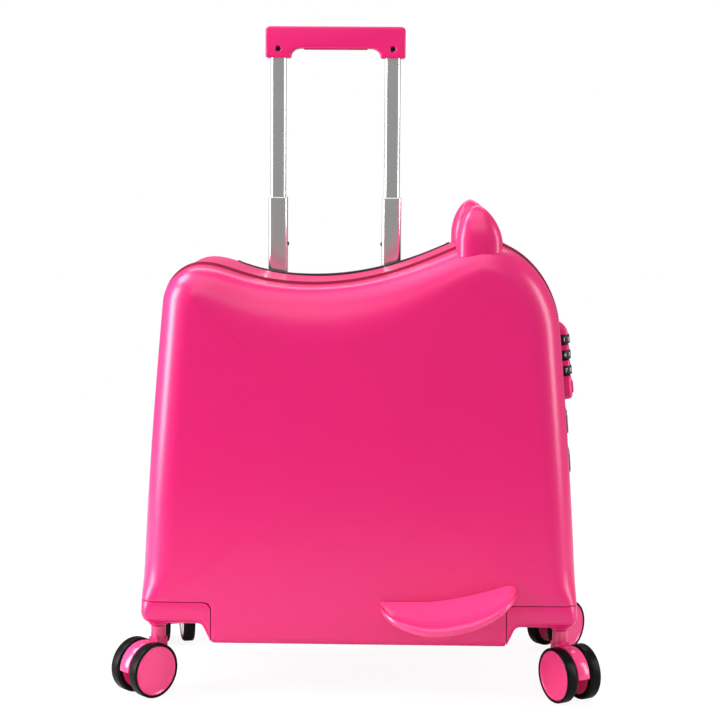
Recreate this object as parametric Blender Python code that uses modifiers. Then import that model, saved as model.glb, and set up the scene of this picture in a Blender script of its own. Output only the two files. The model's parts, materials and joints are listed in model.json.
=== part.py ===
# Kids ride-on suitcase: two half shells, a centre band, a two-stage trolley and four twin-wheel casters.
# Metres, +Z up, +X towards the eared end, -Y towards the opening half, origin on the floor under the case.

import math

import bmesh
import bpy
from mathutils import Vector
from mathutils.geometry import interpolate_bezier

MM = 0.001
FIT = 0.3 * MM  # clearance between pieces that touch
CUT = 5 * MM  # how far a cutter runs past what it cuts
MELD = 1 * MM  # how far shapes that are joined run into each other
SLIDE = 0.75 * MM  # clearance each side of a sliding tube

# Wheels and casters
WHEEL_RADIUS = 27.5 * MM
HUB_RADIUS = 22.5 * MM
HUB_FLANGE = 3 * MM
HUB_FLANGE_THICKNESS = 2 * MM
TYRE_WIDTH = 12.5 * MM
TYRE_ROUND = 3.5 * MM
TYRE_LIP_ROUND = 1.4 * MM
FORK_WIDTH = 14 * MM
FENDER_MARGIN = 1.2 * MM
CASTER_TRAIL = 18 * MM
POST_RADIUS = 7.5 * MM
STEM_RADIUS = 6 * MM
STEM_LENGTH = 18 * MM
AXLE_RADIUS = 2.5 * MM
AXLE_BOSS = 5.5 * MM
HUB_FACE = 3 * MM
HUB_RECESS = 1 * MM
HUB_RIM = 3 * MM
HUB_EDGE = 0.5 * MM
WHEEL_STEPS = 24
CASTER_INSET_X = 15 * MM
CASTER_INSET_Y = 28 * MM
ARCH_CLEARANCE = 19.9 * MM
SWING_CLEARANCE = 5.9 * MM
CASTER_YAWS = {
    "front_left": math.radians(227),
    "front_right": math.radians(-61.5),
    "rear_left": math.radians(104),
    "rear_right": math.radians(47),
}

# Case
CASE_DEPTH = 206 * MM
BAND_WIDTH = 84 * MM
ZIP_GAP = 3 * MM
REAR_GAP = 1.2 * MM
WALL = 3 * MM
LAP = 2 * MM
LAP_LENGTH = 10 * MM
EDGE_RADIUS = 30 * MM
LOW_EDGE_RADIUS = 9 * MM
EDGE_BLEND = 42 * MM
EDGE_STEPS = 5
GROUND_CLEARANCE = 55.1 * MM
HALF_LENGTH = 219 * MM
CORNER_RADIUS = 12 * MM
LEFT_HUMP_Z = 433.3 * MM
LEFT_HUMP_IN = 57 * MM
LEFT_SHOULDER_DROP = 34.5 * MM
LEFT_LEAN = 20.7 * MM
SADDLE_X = -50 * MM
SADDLE_DROP = 19.6 * MM
RIGHT_HUMP_RISE = 25.2 * MM
RIGHT_HUMP_IN = 99 * MM
RIGHT_SHOULDER_DROP = 85.5 * MM
RIGHT_LEAN = 20.1 * MM
LEFT_SLOPE = 0.091
RIGHT_SLOPE = 0.097
SIDE_HOLD = 0.2  # how long a bend of the outline keeps its direction, as a share of the stretch
SHOULDER_HOLD = 0.18
LEFT_SHOULDER_HOLD = 0.3
HUMP_TURN = 0.53
HUMP_HOLD = 0.52
CREST_HOLD = 0.13
LEFT_CREST_HOLD = 0.25
SADDLE_HOLD = 0.52
LEFT_SADDLE_HOLD = 0.6
HOUSING_HEIGHT = 24 * MM
HOUSING_MARGIN = 1 * MM
HOUSING_ROUND = 8 * MM
ARCH_SLANT = 9.5 * MM
BOSS_WALL = 2.2 * MM
BOSS_CAP = 4 * MM
BOSS_DROP = 3.5 * MM

# Zip
ZIP_DEPTH = 1.5 * MM
ZIP_TAPE = 5 * MM
SLIDER_LENGTH = 12 * MM
SLIDER_WIDTH = 8 * MM
SLIDER_THICKNESS = 2.8 * MM
TAB_LENGTH = 22 * MM
TAB_WIDTH = 6 * MM
TAB_THICKNESS = 1.4 * MM
SLIDER_PITCH = 40 * MM

# Ears and foot rests
EAR_LENGTH = 46 * MM
EAR_DEPTH = 42 * MM
EAR_HEIGHT = 38.5 * MM
EAR_ROOT = 14 * MM
EAR_TAPER = 2.2
EAR_POINT = 0.6
EAR_STEPS = 7
EAR_SWEEP = math.radians(84)
EAR_SIDES = 24
EAR_INSET = 10 * MM
EAR_FROM_CREST = -2.5 * MM
EAR_SQUARENESS = 2.6
REST_LENGTH = 136 * MM
REST_REACH = 45 * MM
REST_LIP = 9.5 * MM
REST_ROOT_HEIGHT = 26 * MM
REST_DIP = 15.5 * MM
REST_RISE = 21 * MM
REST_FLAT_SHARE = 0.31
REST_FULLNESS = 2.05
REST_END_FULLNESS = 2.6
REST_SWEEP = 1.6
REST_TIP = 0.35
REST_FROM_END = 130 * MM
REST_ABOVE_BOTTOM = 46.8 * MM

# Lock
LOCK_LENGTH = 79 * MM
LOCK_WIDTH = 26 * MM
LOCK_PROUD = 11.5 * MM
LOCK_PLUG = 7 * MM
LOCK_RIM = 2 * MM
LOCK_EDGE = 2.5 * MM
LOCK_CENTRE_Z = 336.1 * MM
LOCK_FROM_SEAM = 18.5 * MM
DIAL_RADIUS = 9 * MM
DIAL_WIDTH = 10 * MM
DIAL_PITCH = 16 * MM
DIAL_PROUD = 2 * MM
DIAL_COUNT = 3
DIAL_FACETS = 20
DIAL_FIRST = 21.5 * MM
BUTTON_LENGTH = 13 * MM
BUTTON_WIDTH = 14 * MM
BUTTON_PROUD = 1.8 * MM
BUTTON_DEPTH = 9 * MM
BUTTON_EDGE = 1 * MM
BUTTON_CENTRE = -28 * MM

# Trolley
TROLLEY_INSET = 22 * MM
TROLLEY_X = -31.5 * MM
TUBE_SPACING = 123 * MM
TUBE_WALL = 1.2 * MM
INNER_TUBE = (17 * MM, 10 * MM)
TUBE_ROUND = 4 * MM
STAGE_1_TRAVEL = 115.9 * MM
STAGE_2_TRAVEL = 147.5 * MM
STAGE_1_OVERLAP = 100 * MM
STAGE_2_OVERLAP = 47 * MM
TRAY_DEPTH = 34 * MM
TRAY_LENGTH = 223 * MM
TRAY_WIDTH = 33.5 * MM
TRAY_X = -21.5 * MM
TRAY_WALL = 2 * MM
TRAY_FLOOR = 3 * MM
PARKED_GAP = 4 * MM
COLLAR_GAP = 2 * MM
BRACKET_HEIGHT = 14 * MM
BRACKET_FLOOR = 5.7 * MM
BRACKET_WALL = 5 * MM
BRACKET_EDGE = 1 * MM
PIN_RADIUS = 2 * MM
PIN_PROUD = 0.4 * MM
PIN_BELOW_TOP = 50.5 * MM

# Grip
GRIP_LEG_MARGIN = 5.1 * MM
GRIP_DEPTH = 23 * MM
GRIP_LEG_HEIGHT = 33.5 * MM
GRIP_BAR_HEIGHT = 23 * MM
GRIP_ROUND = 6 * MM
GRIP_ARCH_ROUND = 10 * MM
GRIP_EDGE = 3.5 * MM
GRIP_SIDE_SKIN = 5.5 * MM
GRIP_HOLLOW_HEIGHT = 14 * MM
TUBE_IN_GRIP = 16 * MM
BAR_LENGTH = 69 * MM
BAR_PROUD = 1.5 * MM
BAR_WIDTH = 9 * MM
YOKE_HEIGHT = 3 * MM
ROD_RADIUS = 1.5 * MM
ROD_OFFSET = 5 * MM
ROD_END_MARGIN = 7 * MM
SCREW_HEIGHT = 9.5 * MM
SCREW_HEAD_RADIUS = 3 * MM
SCREW_HEAD_HEIGHT = 2 * MM
SCREW_SHANK_RADIUS = 1.6 * MM
SCREW_RECESS = 3.3 * MM
SCREW_BITE = 6 * MM

# Places that follow from the sizes above
HALF_DEPTH = CASE_DEPTH / 2
SEAM = BAND_WIDTH / 2
FRONT_OPEN = SEAM + ZIP_GAP / 2
REAR_OPEN = SEAM + REAR_GAP / 2
LIP = WALL + FIT + LAP
BAND_LIP_Y = SEAM - REAR_GAP / 2 + LAP_LENGTH
BODY_BOTTOM = GROUND_CLEARANCE
ARCH_Z = 2 * WHEEL_RADIUS + ARCH_CLEARANCE
WHEEL_PAIR = FORK_WIDTH + 2 * FIT + 2 * TYRE_WIDTH
SWIVEL_X = HALF_LENGTH - CASTER_INSET_X
SWIVEL_Y = HALF_DEPTH - CASTER_INSET_Y
SWING_RADIUS = math.hypot(CASTER_TRAIL + WHEEL_RADIUS, WHEEL_PAIR / 2)
ARCH_FOOT_X = SWIVEL_X - SWING_RADIUS - SWING_CLEARANCE
HOUSING_Z = ARCH_Z + HOUSING_HEIGHT
REST_X = HALF_LENGTH - REST_FROM_END
SADDLE_Z = LEFT_HUMP_Z - SADDLE_DROP
RIGHT_HUMP_Z = LEFT_HUMP_Z + RIGHT_HUMP_RISE
RIGHT_HUMP_X = HALF_LENGTH - RIGHT_HUMP_IN
TROLLEY_Y = HALF_DEPTH - TROLLEY_INSET
TUBES = {"left": TROLLEY_X - TUBE_SPACING / 2, "right": TROLLEY_X + TUBE_SPACING / 2}
TRAY_FLOOR_Z = SADDLE_Z - TRAY_DEPTH
MIDDLE_TUBE = tuple(side + 2 * (TUBE_WALL + SLIDE) for side in INNER_TUBE)
BASE_TUBE = tuple(side + 2 * (TUBE_WALL + SLIDE) for side in MIDDLE_TUBE)
GRIP_FOOT_Z = TRAY_FLOOR_Z + PARKED_GAP + STAGE_1_TRAVEL + STAGE_2_TRAVEL
GRIP_TOP_Z = GRIP_FOOT_Z + GRIP_LEG_HEIGHT
GRIP_UNDER_Z = GRIP_TOP_Z - GRIP_BAR_HEIGHT
TUBE_TOP_Z = GRIP_FOOT_Z + TUBE_IN_GRIP
MIDDLE_TOP_Z = TRAY_FLOOR_Z + COLLAR_GAP + STAGE_1_TRAVEL
BASE_TOP_Z = TRAY_FLOOR_Z - TRAY_FLOOR - FIT
BRACKET_Z = BODY_BOTTOM + WALL + FIT
BAR_X = TROLLEY_X
SEGMENTS = 16

collection = None
cutters = None


def clear_scene():
    for found in list(bpy.data.objects):
        bpy.data.objects.remove(found)


def new_collection(name):
    made = bpy.data.collections.new(name)
    bpy.context.scene.collection.children.link(made)
    return made


def material(name, rgb, roughness, metallic=0.0):
    made = bpy.data.materials.new(name)
    made.use_nodes = True
    shader = made.node_tree.nodes["Principled BSDF"]
    shader.inputs["Base Color"].default_value = (*rgb, 1)
    shader.inputs["Roughness"].default_value = roughness
    shader.inputs["Metallic"].default_value = metallic
    return made


def add_object(name, mesh_data, finish):
    """An object in the part's collection, or a hidden cutter where it has no finish."""
    made = bpy.data.objects.new(name, mesh_data)
    if finish is None:
        cutters.objects.link(made)
        made.hide_render = True
        made.display_type = "WIRE"
    else:
        collection.objects.link(made)
        made.data.materials.append(finish)
    return made


def from_bmesh(name, shape, finish):
    bmesh.ops.recalc_face_normals(shape, faces=shape.faces)
    data = bpy.data.meshes.new(name)
    shape.to_mesh(data)
    shape.free()
    data.shade_smooth()
    data.set_sharp_from_angle(angle=math.radians(32))
    return add_object(name, data, finish)


def loft(name, rings, finish, closed=False):
    """A skin over like rings of points, with its ends filled, or joined round into a frame where closed."""
    shape = bmesh.new()
    loops = [[shape.verts.new(point) for point in ring] for ring in rings]
    if closed:
        loops.append(loops[0])
    count = len(rings[0])
    for near, far in zip(loops, loops[1:]):
        for i in range(count):
            j = (i + 1) % count
            shape.faces.new((near[i], near[j], far[j], far[i]))
    if not closed:
        shape.faces.new(loops[0])
        shape.faces.new(loops[-1])
    return from_bmesh(name, shape, finish)


def prism(name, outline, low, high, finish, axis="Y"):
    """A flat outline of two coordinates carried along an axis from low to high."""
    if axis == "Y":
        rings = [[(x, at, z) for x, z in outline] for at in (low, high)]
    else:
        rings = [[(x, y, at) for x, y in outline] for at in (low, high)]
    return loft(name, rings, finish)


def box(name, low, high, finish=None):
    shape = bmesh.new()
    bmesh.ops.create_cube(shape, size=1)
    for vert in shape.verts:
        vert.co = Vector((a + b) / 2 + co * (b - a) for co, a, b in zip(vert.co, low, high))
    return from_bmesh(name, shape, finish)


def cylinder(name, radius, start, end, finish=None, segments=SEGMENTS):
    start, end = Vector(start), Vector(end)
    shape = bmesh.new()
    bmesh.ops.create_cone(
        shape, cap_ends=True, segments=segments, radius1=radius, radius2=radius, depth=(end - start).length
    )
    turn = (end - start).to_track_quat("Z", "Y").to_matrix().to_4x4()
    turn.translation = (start + end) / 2
    bmesh.ops.transform(shape, matrix=turn, verts=shape.verts)
    return from_bmesh(name, shape, finish)


def turned(name, profile, finish, closed=False, steps=WHEEL_STEPS):
    """A profile of (radius, height) turned about Z; it runs down its outer side."""
    points = [(radius, 0, height) for radius, height in profile]
    edges = [(i, i + 1) for i in range(len(points) - 1)]
    if closed:
        edges.append((len(points) - 1, 0))
    data = bpy.data.meshes.new(name)
    data.from_pydata(points, edges, [])
    made = add_object(name, data, finish)
    screw = made.modifiers.new("Turn", "SCREW")
    screw.axis = "Z"
    screw.steps = steps
    screw.render_steps = steps
    screw.use_merge_vertices = True
    screw.merge_threshold = 0.00001
    screw.use_smooth_shade = True
    return made


def combine(target, other, operation="DIFFERENCE"):
    change = target.modifiers.new(operation.title(), "BOOLEAN")
    change.operation = operation
    change.object = other
    change.solver = "EXACT"
    return target


def soften(target, width, segments=2):
    """Rounds the sharp edges of a piece."""
    change = target.modifiers.new("Edges", "BEVEL")
    change.width = width
    change.segments = segments
    change.limit_method = "ANGLE"
    change.angle_limit = math.radians(40)
    change.harden_normals = False
    return target


def empty(name, place, turn=(0, 0, 0), parent=None):
    made = bpy.data.objects.new(name, None)
    made.location = place
    made.rotation_euler = turn
    collection.objects.link(made)
    if parent is not None:
        bpy.context.view_layer.update()
        made.parent = parent
        made.matrix_parent_inverse = parent.matrix_world.inverted()
    return made


def carry(parent, *children):
    """Parents pieces that are already in their world places."""
    bpy.context.view_layer.update()
    for child in children:
        child.parent = parent
        child.matrix_parent_inverse = parent.matrix_world.inverted()


def arc(centre, radius, start, end, steps):
    """Points round a centre, angles in degrees, both ends included."""
    turns = [math.radians(start + (end - start) * i / steps) for i in range(steps + 1)]
    return [(centre[0] + radius * math.cos(turn), centre[1] + radius * math.sin(turn)) for turn in turns]


def rounded_rectangle(width, depth, radius, steps=3, centre=(0, 0)):
    x, y = width / 2 - radius, depth / 2 - radius
    corners = (((x, y), 0), ((-x, y), 90), ((-x, -y), 180), ((x, -y), 270))
    points = [point for corner, start in corners for point in arc(corner, radius, start, start + 90, steps)]
    return [(centre[0] + px, centre[1] + py) for px, py in points]


def squared_ring(x, y, half_x, half_y, squareness, steps):
    """A ring between an ellipse and a rectangle; 2 gives the ellipse."""
    points = []
    for i in range(steps):
        turn = 2 * math.pi * i / steps
        across, along = math.cos(turn), math.sin(turn)
        across = math.copysign(abs(across) ** (2 / squareness), across)
        along = math.copysign(abs(along) ** (2 / squareness), along)
        points.append((x + half_x * across, y + half_y * along))
    return points


def bend(start, start_handle, end_handle, end, steps):
    """Points of one smooth stretch of the outline, without its end."""
    start, end = Vector(start), Vector(end)
    handles = (start + Vector(start_handle), end + Vector(end_handle))
    return [tuple(point) for point in interpolate_bezier(start, *handles, end, steps + 1)][:-1]


def case_outline():
    """The side-on outline of the case, x and z, from its bottom left corner round through the right side."""
    right_foot = (HALF_LENGTH, ARCH_Z + CORNER_RADIUS)
    left_foot = (-HALF_LENGTH, ARCH_Z + CORNER_RADIUS)
    right_shoulder = (HALF_LENGTH - RIGHT_LEAN, RIGHT_HUMP_Z - RIGHT_SHOULDER_DROP)
    left_shoulder = (-HALF_LENGTH + LEFT_LEAN, LEFT_HUMP_Z - LEFT_SHOULDER_DROP)
    right_hump = (RIGHT_HUMP_X, RIGHT_HUMP_Z)
    left_hump = (-HALF_LENGTH + LEFT_HUMP_IN, LEFT_HUMP_Z)
    saddle = (SADDLE_X, SADDLE_Z)
    right_rise = right_shoulder[1] - right_foot[1]
    left_rise = left_shoulder[1] - left_foot[1]
    right_end = right_shoulder[0] - right_hump[0]
    left_end = left_hump[0] - left_shoulder[0]
    right_dip = right_hump[0] - saddle[0]
    left_dip = saddle[0] - left_hump[0]
    points = [(-ARCH_FOOT_X, BODY_BOTTOM), (ARCH_FOOT_X, BODY_BOTTOM)]
    points.append((ARCH_FOOT_X + ARCH_SLANT, ARCH_Z))
    points += arc((HALF_LENGTH - CORNER_RADIUS, ARCH_Z + CORNER_RADIUS), CORNER_RADIUS, -90, 0, 3)[:-1]
    hold = SHOULDER_HOLD * right_rise
    points += bend(right_foot, (0, SIDE_HOLD * right_rise), (RIGHT_SLOPE * hold, -hold), right_shoulder, 5)
    hold = HUMP_TURN * RIGHT_SHOULDER_DROP
    points += bend(right_shoulder, (-RIGHT_SLOPE * hold, hold), (HUMP_HOLD * right_end, 0), right_hump, 6)
    points += bend(right_hump, (-CREST_HOLD * right_dip, 0), (SADDLE_HOLD * right_dip, 0), saddle, 7)
    points += bend(saddle, (-LEFT_SADDLE_HOLD * left_dip, 0), (LEFT_CREST_HOLD * left_dip, 0), left_hump, 5)
    hold = HUMP_TURN * LEFT_SHOULDER_DROP
    points += bend(left_hump, (-HUMP_HOLD * left_end, 0), (LEFT_SLOPE * hold, hold), left_shoulder, 5)
    hold = LEFT_SHOULDER_HOLD * left_rise
    points += bend(left_shoulder, (-LEFT_SLOPE * hold, -hold), (0, SIDE_HOLD * left_rise), left_foot, 5)
    points += arc((-HALF_LENGTH + CORNER_RADIUS, ARCH_Z + CORNER_RADIUS), CORNER_RADIUS, 180, 270, 3)
    points.append((-ARCH_FOOT_X - ARCH_SLANT, ARCH_Z))
    return points


OUTLINE = None


def inward(i):
    """The mitred inward direction at one point of the outline."""
    here = Vector(OUTLINE[i])
    before = (here - Vector(OUTLINE[i - 1])).normalized()
    after = (Vector(OUTLINE[(i + 1) % len(OUTLINE)]) - here).normalized()
    normals = [Vector((-way.y, way.x)) for way in (before, after)]
    middle = (normals[0] + normals[1]).normalized()
    return middle / middle.dot(normals[0])


def edge_radius(z):
    """The radius of the case's long edge at a height: small at the arches, full above them."""
    share = (z - ARCH_Z - CORNER_RADIUS) / EDGE_BLEND
    share = min(max(share, 0), 1)
    share = share * share * (3 - 2 * share)
    return LOW_EDGE_RADIUS + (EDGE_RADIUS - LOW_EDGE_RADIUS) * share


def case_ring(inset, y, turn=None, side=1):
    """The outline drawn in by an inset, or at one angle of the rounded edge of the face at y."""
    ring = []
    for i, (x, z) in enumerate(OUTLINE):
        way = inward(i)
        depth = inset
        at = y
        if turn is not None:
            radius = edge_radius(z) - inset
            depth = inset + radius * (1 - math.cos(turn))
            at = y - side * (inset + radius * (1 - math.sin(turn)))
        ring.append((x + way.x * depth, at, z + way.y * depth))
    return ring


def case_form(name, side, open_y, inset, finish=None):
    """Half the case as a solid from its open edge to its face, drawn in by an inset."""
    rings = [case_ring(inset, side * open_y)]
    for i in range(EDGE_STEPS + 1):
        rings.append(case_ring(inset, side * HALF_DEPTH, math.pi / 2 * i / EDGE_STEPS, side))
    return loft(name, rings, finish)


def top_at(x):
    """The height of the case's top at x."""
    spans = list(zip(OUTLINE, OUTLINE[1:] + OUTLINE[:1]))
    found = [a[1] + (b[1] - a[1]) * (x - a[0]) / (b[0] - a[0]) for a, b in spans if b[0] < x <= a[0]]
    return max(found)


def end_at(z):
    """The x of the eared end of the case at a height."""
    spans = list(zip(OUTLINE, OUTLINE[1:] + OUTLINE[:1]))
    found = [a[0] + (b[0] - a[0]) * (z - a[1]) / (b[1] - a[1]) for a, b in spans if a[1] <= z < b[1]]
    return max(found)


def end_frame(name, z, y, parent=None):
    """An empty on the eared end, its x pointing straight out of the surface and its z along it."""
    step = 10 * MM
    lean = math.atan2(end_at(z + step) - end_at(z - step), 2 * step)
    return empty(name, (end_at(z), y, z), (0, lean, 0), parent)


def place_on(frame_empty, *pieces):
    """Puts pieces that were made about the origin into the frame of an empty."""
    for piece in pieces:
        piece.parent = frame_empty


def corner_region(name, side, gap, reach=0):
    """The space of one wheel housing: the bottom corner of the case, with one rounded corner."""
    inner_x = ARCH_FOOT_X - HOUSING_MARGIN + gap - reach
    top = HOUSING_Z - gap + reach
    outer_x = HALF_LENGTH + EDGE_RADIUS
    bottom = BODY_BOTTOM - EDGE_RADIUS
    outline = [(inner_x, bottom), (outer_x, bottom), (outer_x, top)]
    outline += arc((inner_x + HOUSING_ROUND, top - HOUSING_ROUND), HOUSING_ROUND, 90, 180, 3)
    outline = [(side * x, z) for x, z in outline]
    return prism(name, outline, -CASE_DEPTH, CASE_DEPTH, None)


def make_housing(name, side_x, side_y, open_y, finish):
    """A corner housing: skin, arch roof, lap behind the shell and the boss that holds the caster's stem."""
    part = case_form(name, side_y, open_y, 0, finish)
    combine(part, corner_region(f"{name}_space", side_x, FIT), "INTERSECT")
    lap_y = open_y + MELD if side_y < 0 else BAND_LIP_Y + FIT
    lap = case_form(f"{name}_lap", side_y, lap_y, WALL + FIT)
    combine(lap, corner_region(f"{name}_lap_space", side_x, 0, LAP_LENGTH), "INTERSECT")
    combine(part, lap, "UNION")
    combine(part, case_form(f"{name}_hollow", side_y, open_y - LAP_LENGTH, LIP))
    relief = [case_ring(WALL, side_y * at) for at in (open_y - LAP_LENGTH, lap_y)]
    combine(part, loft(f"{name}_relief", relief, None))
    x, y = side_x * SWIVEL_X, side_y * SWIVEL_Y
    bore_top = ARCH_Z + STEM_LENGTH + FIT
    boss_foot, boss_top = ARCH_Z - BOSS_DROP, bore_top + BOSS_CAP
    boss = cylinder(f"{name}_boss", STEM_RADIUS + FIT + BOSS_WALL, (x, y, boss_foot), (x, y, boss_top))
    combine(part, boss, "UNION")
    combine(part, cylinder(f"{name}_bore", STEM_RADIUS + FIT, (x, y, boss_foot - CUT), (x, y, bore_top)))
    return part


def make_shell(name, side, open_y, finish):
    part = case_form(name, side, open_y, 0, finish)
    combine(part, case_form(f"{name}_hollow", side, open_y - LAP_LENGTH, WALL))
    combine(part, corner_region(f"{name}_left_corner", -1, 0))
    combine(part, corner_region(f"{name}_right_corner", 1, 0))
    return part


def make_band(finish):
    """The centre band, with an inner lip that laps behind the fixed shell."""
    front, rear = -SEAM + ZIP_GAP / 2, SEAM - REAR_GAP / 2
    seat = WALL + FIT
    profile = [(0, front), (0, rear), (seat, rear), (seat, BAND_LIP_Y), (LIP, BAND_LIP_Y), (LIP, front)]
    return loft("centre_band", [case_ring(inset, y) for inset, y in profile], finish, closed=True)


def make_zip(finish):
    """The zip tape and chain in the front seam; at the plain end it is the fabric hinge of the door."""
    front, rear = -SEAM - ZIP_GAP / 2 + FIT, -SEAM + ZIP_GAP / 2 - FIT
    outer, inner = ZIP_DEPTH, ZIP_DEPTH + ZIP_TAPE
    profile = [(outer, front), (outer, rear), (inner, rear), (inner, front)]
    return loft("zip_tape", [case_ring(inset, y) for inset, y in profile], finish, closed=True)


def make_slider(name, z, finish):
    """A zip slider that runs in the seam, with its pull tab hanging along the case's end."""
    low, high = 2 * FIT, 2 * FIT + SLIDER_THICKNESS
    half_width, half_length = SLIDER_WIDTH / 2, SLIDER_LENGTH / 2
    part = box(name, (low, -half_width, -half_length), (high, half_width, half_length), finish)
    neck_width = ZIP_GAP / 2 - FIT
    neck_half = SLIDER_LENGTH / 3
    neck = box(f"{name}_neck", (FIT - ZIP_DEPTH, -neck_width, -neck_half), (low + MELD, neck_width, neck_half))
    tab_z = -half_length - TAB_LENGTH
    tab_x = low + (SLIDER_THICKNESS - TAB_THICKNESS) / 2
    tab = box(f"{name}_tab", (tab_x, -TAB_WIDTH / 2, tab_z), (tab_x + TAB_THICKNESS, TAB_WIDTH / 2, 0))
    combine(part, neck, "UNION")
    combine(part, tab, "UNION")
    place_on(end_frame(f"{name}_place", z, -SEAM), part, neck, tab)
    return part


def make_ear(name, side, finish):
    """A thick, leaf-shaped ear with a broad front, pointed at the top, seated on the hump of its shell."""
    x, y = RIGHT_HUMP_X + EAR_FROM_CREST, side * (HALF_DEPTH - EAR_INSET - EAR_DEPTH / 2)
    base = top_at(x) - EAR_ROOT
    levels = [(base, 1)]
    for i in range(EAR_STEPS + 1):
        rise = math.sin(EAR_SWEEP * i / EAR_STEPS)
        levels.append((top_at(x) + rise * EAR_HEIGHT, (1 - rise**EAR_TAPER) ** EAR_POINT))
    rings = []
    for z, size in levels:
        ring = squared_ring(x, y, size * EAR_LENGTH / 2, size * EAR_DEPTH / 2, EAR_SQUARENESS, EAR_SIDES)
        rings.append([(px, py, z) for px, py in ring])
    part = loft(name, rings, finish)
    open_y = FRONT_OPEN if side < 0 else REAR_OPEN
    combine(part, case_form(f"{name}_seat", side, open_y - LAP_LENGTH, -FIT))
    return part


def make_foot_rest(name, side, finish):
    """A crescent shelf on the face of a shell, one end swept up."""
    face = HALF_DEPTH + FIT
    stations = [0.02, 0.08, 0.17, 0.28, 0.4, 0.52, 0.64, 0.75, 0.85, 0.93, 0.98]
    rings = []
    for share in stations:
        x = REST_X + REST_LENGTH * (share - 0.5)
        power = REST_FULLNESS if share < 0.5 else REST_END_FULLNESS
        fullness = (1 - abs(2 * share - 1) ** power) ** (1 / power)
        reach = REST_REACH * fullness
        sweep = max(share - REST_FLAT_SHARE, 0) / (1 - REST_FLAT_SHARE)
        root = BODY_BOTTOM + REST_ABOVE_BOTTOM + REST_RISE * sweep**REST_SWEEP
        tread = root - REST_DIP * fullness
        thickness = REST_TIP + (1 - REST_TIP) * fullness
        lip = REST_LIP * thickness
        under = root - REST_ROOT_HEIGHT * thickness
        edge = lip / 5
        section = [(0, root), (reach / 2, (root + tread) / 2 - edge / 3), (reach - edge, tread)]
        section += [(reach, tread - edge), (reach, tread - lip + edge), (reach - edge, tread - lip)]
        section += [(reach / 2, (tread - lip + under) / 2), (0, under)]
        rings.append([(x, side * (face + out), z) for out, z in section])
    return loft(name, rings, finish)


def make_lock(finishes):
    """The combination lock: body with its plug through the band, three dials on one line and a push button."""
    shell_finish, dial_finish = finishes
    frame_empty = end_frame("lock_place", LOCK_CENTRE_Z, -SEAM + LOCK_FROM_SEAM)
    half, side = LOCK_LENGTH / 2, LOCK_WIDTH / 2
    low = 2 * FIT
    body = box("lock_body", (low, -side, -half), (LOCK_PROUD, side, half), shell_finish)
    soften(body, LOCK_EDGE)
    plug_side, plug_half = side - LOCK_RIM, half - LOCK_EDGE - MELD
    plug = box("lock_plug", (-LOCK_PLUG, -plug_side, -plug_half), (low + LOCK_EDGE, plug_side, plug_half))
    combine(body, plug, "UNION")
    hole = box(
        "lock_hole",
        (-LOCK_PLUG - CUT, -plug_side - FIT, -plug_half - FIT),
        (LOCK_PROUD, plug_side + FIT, plug_half + FIT),
    )
    dials = []
    slots = []
    depth = LOCK_PROUD + DIAL_PROUD - DIAL_RADIUS
    for i in range(DIAL_COUNT):
        z = DIAL_FIRST - i * DIAL_PITCH
        slot_side, slot_half = DIAL_RADIUS + FIT, DIAL_WIDTH / 2 + FIT
        slot = box(
            f"lock_slot_{i + 1}",
            (-LOCK_PLUG - CUT, -slot_side, z - slot_half),
            (LOCK_PROUD + CUT, slot_side, z + slot_half),
        )
        combine(body, slot)
        slots.append(slot)
        ends = [(0, 0, end * DIAL_WIDTH / 2) for end in (-1, 1)]
        dial = cylinder(f"lock_dial_{i + 1}", DIAL_RADIUS, *ends, dial_finish, DIAL_FACETS)
        dial.location = (depth, 0, z)
        dials.append(dial)
    low_z, high_z = BUTTON_CENTRE - BUTTON_LENGTH / 2, BUTTON_CENTRE + BUTTON_LENGTH / 2
    well = box(
        "lock_well",
        (-LOCK_PLUG - CUT, -BUTTON_WIDTH / 2 - FIT, low_z - FIT),
        (LOCK_PROUD + CUT, BUTTON_WIDTH / 2 + FIT, high_z + FIT),
    )
    combine(body, well)
    button = box(
        "lock_button",
        (-BUTTON_DEPTH / 2, -BUTTON_WIDTH / 2, -BUTTON_LENGTH / 2),
        (BUTTON_DEPTH / 2, BUTTON_WIDTH / 2, BUTTON_LENGTH / 2),
        shell_finish,
    )
    soften(button, BUTTON_EDGE)
    button.location = (LOCK_PROUD + BUTTON_PROUD - BUTTON_DEPTH / 2, 0, BUTTON_CENTRE)
    place_on(frame_empty, body, plug, hole, well, button, *slots, *dials)
    return body, hole


def tube(name, x, size, low, high, finish):
    """A hollow trolley tube with rounded corners."""
    centre = (x, TROLLEY_Y)
    bore = [side - 2 * TUBE_WALL for side in size]
    outer = rounded_rectangle(*size, TUBE_ROUND, centre=centre)
    inner = rounded_rectangle(*bore, TUBE_ROUND - TUBE_WALL, centre=centre)
    rings = [(outer, low), (outer, high), (inner, high), (inner, low)]
    return loft(name, [[(px, py, z) for px, py in ring] for ring, z in rings], finish, closed=True)


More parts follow.
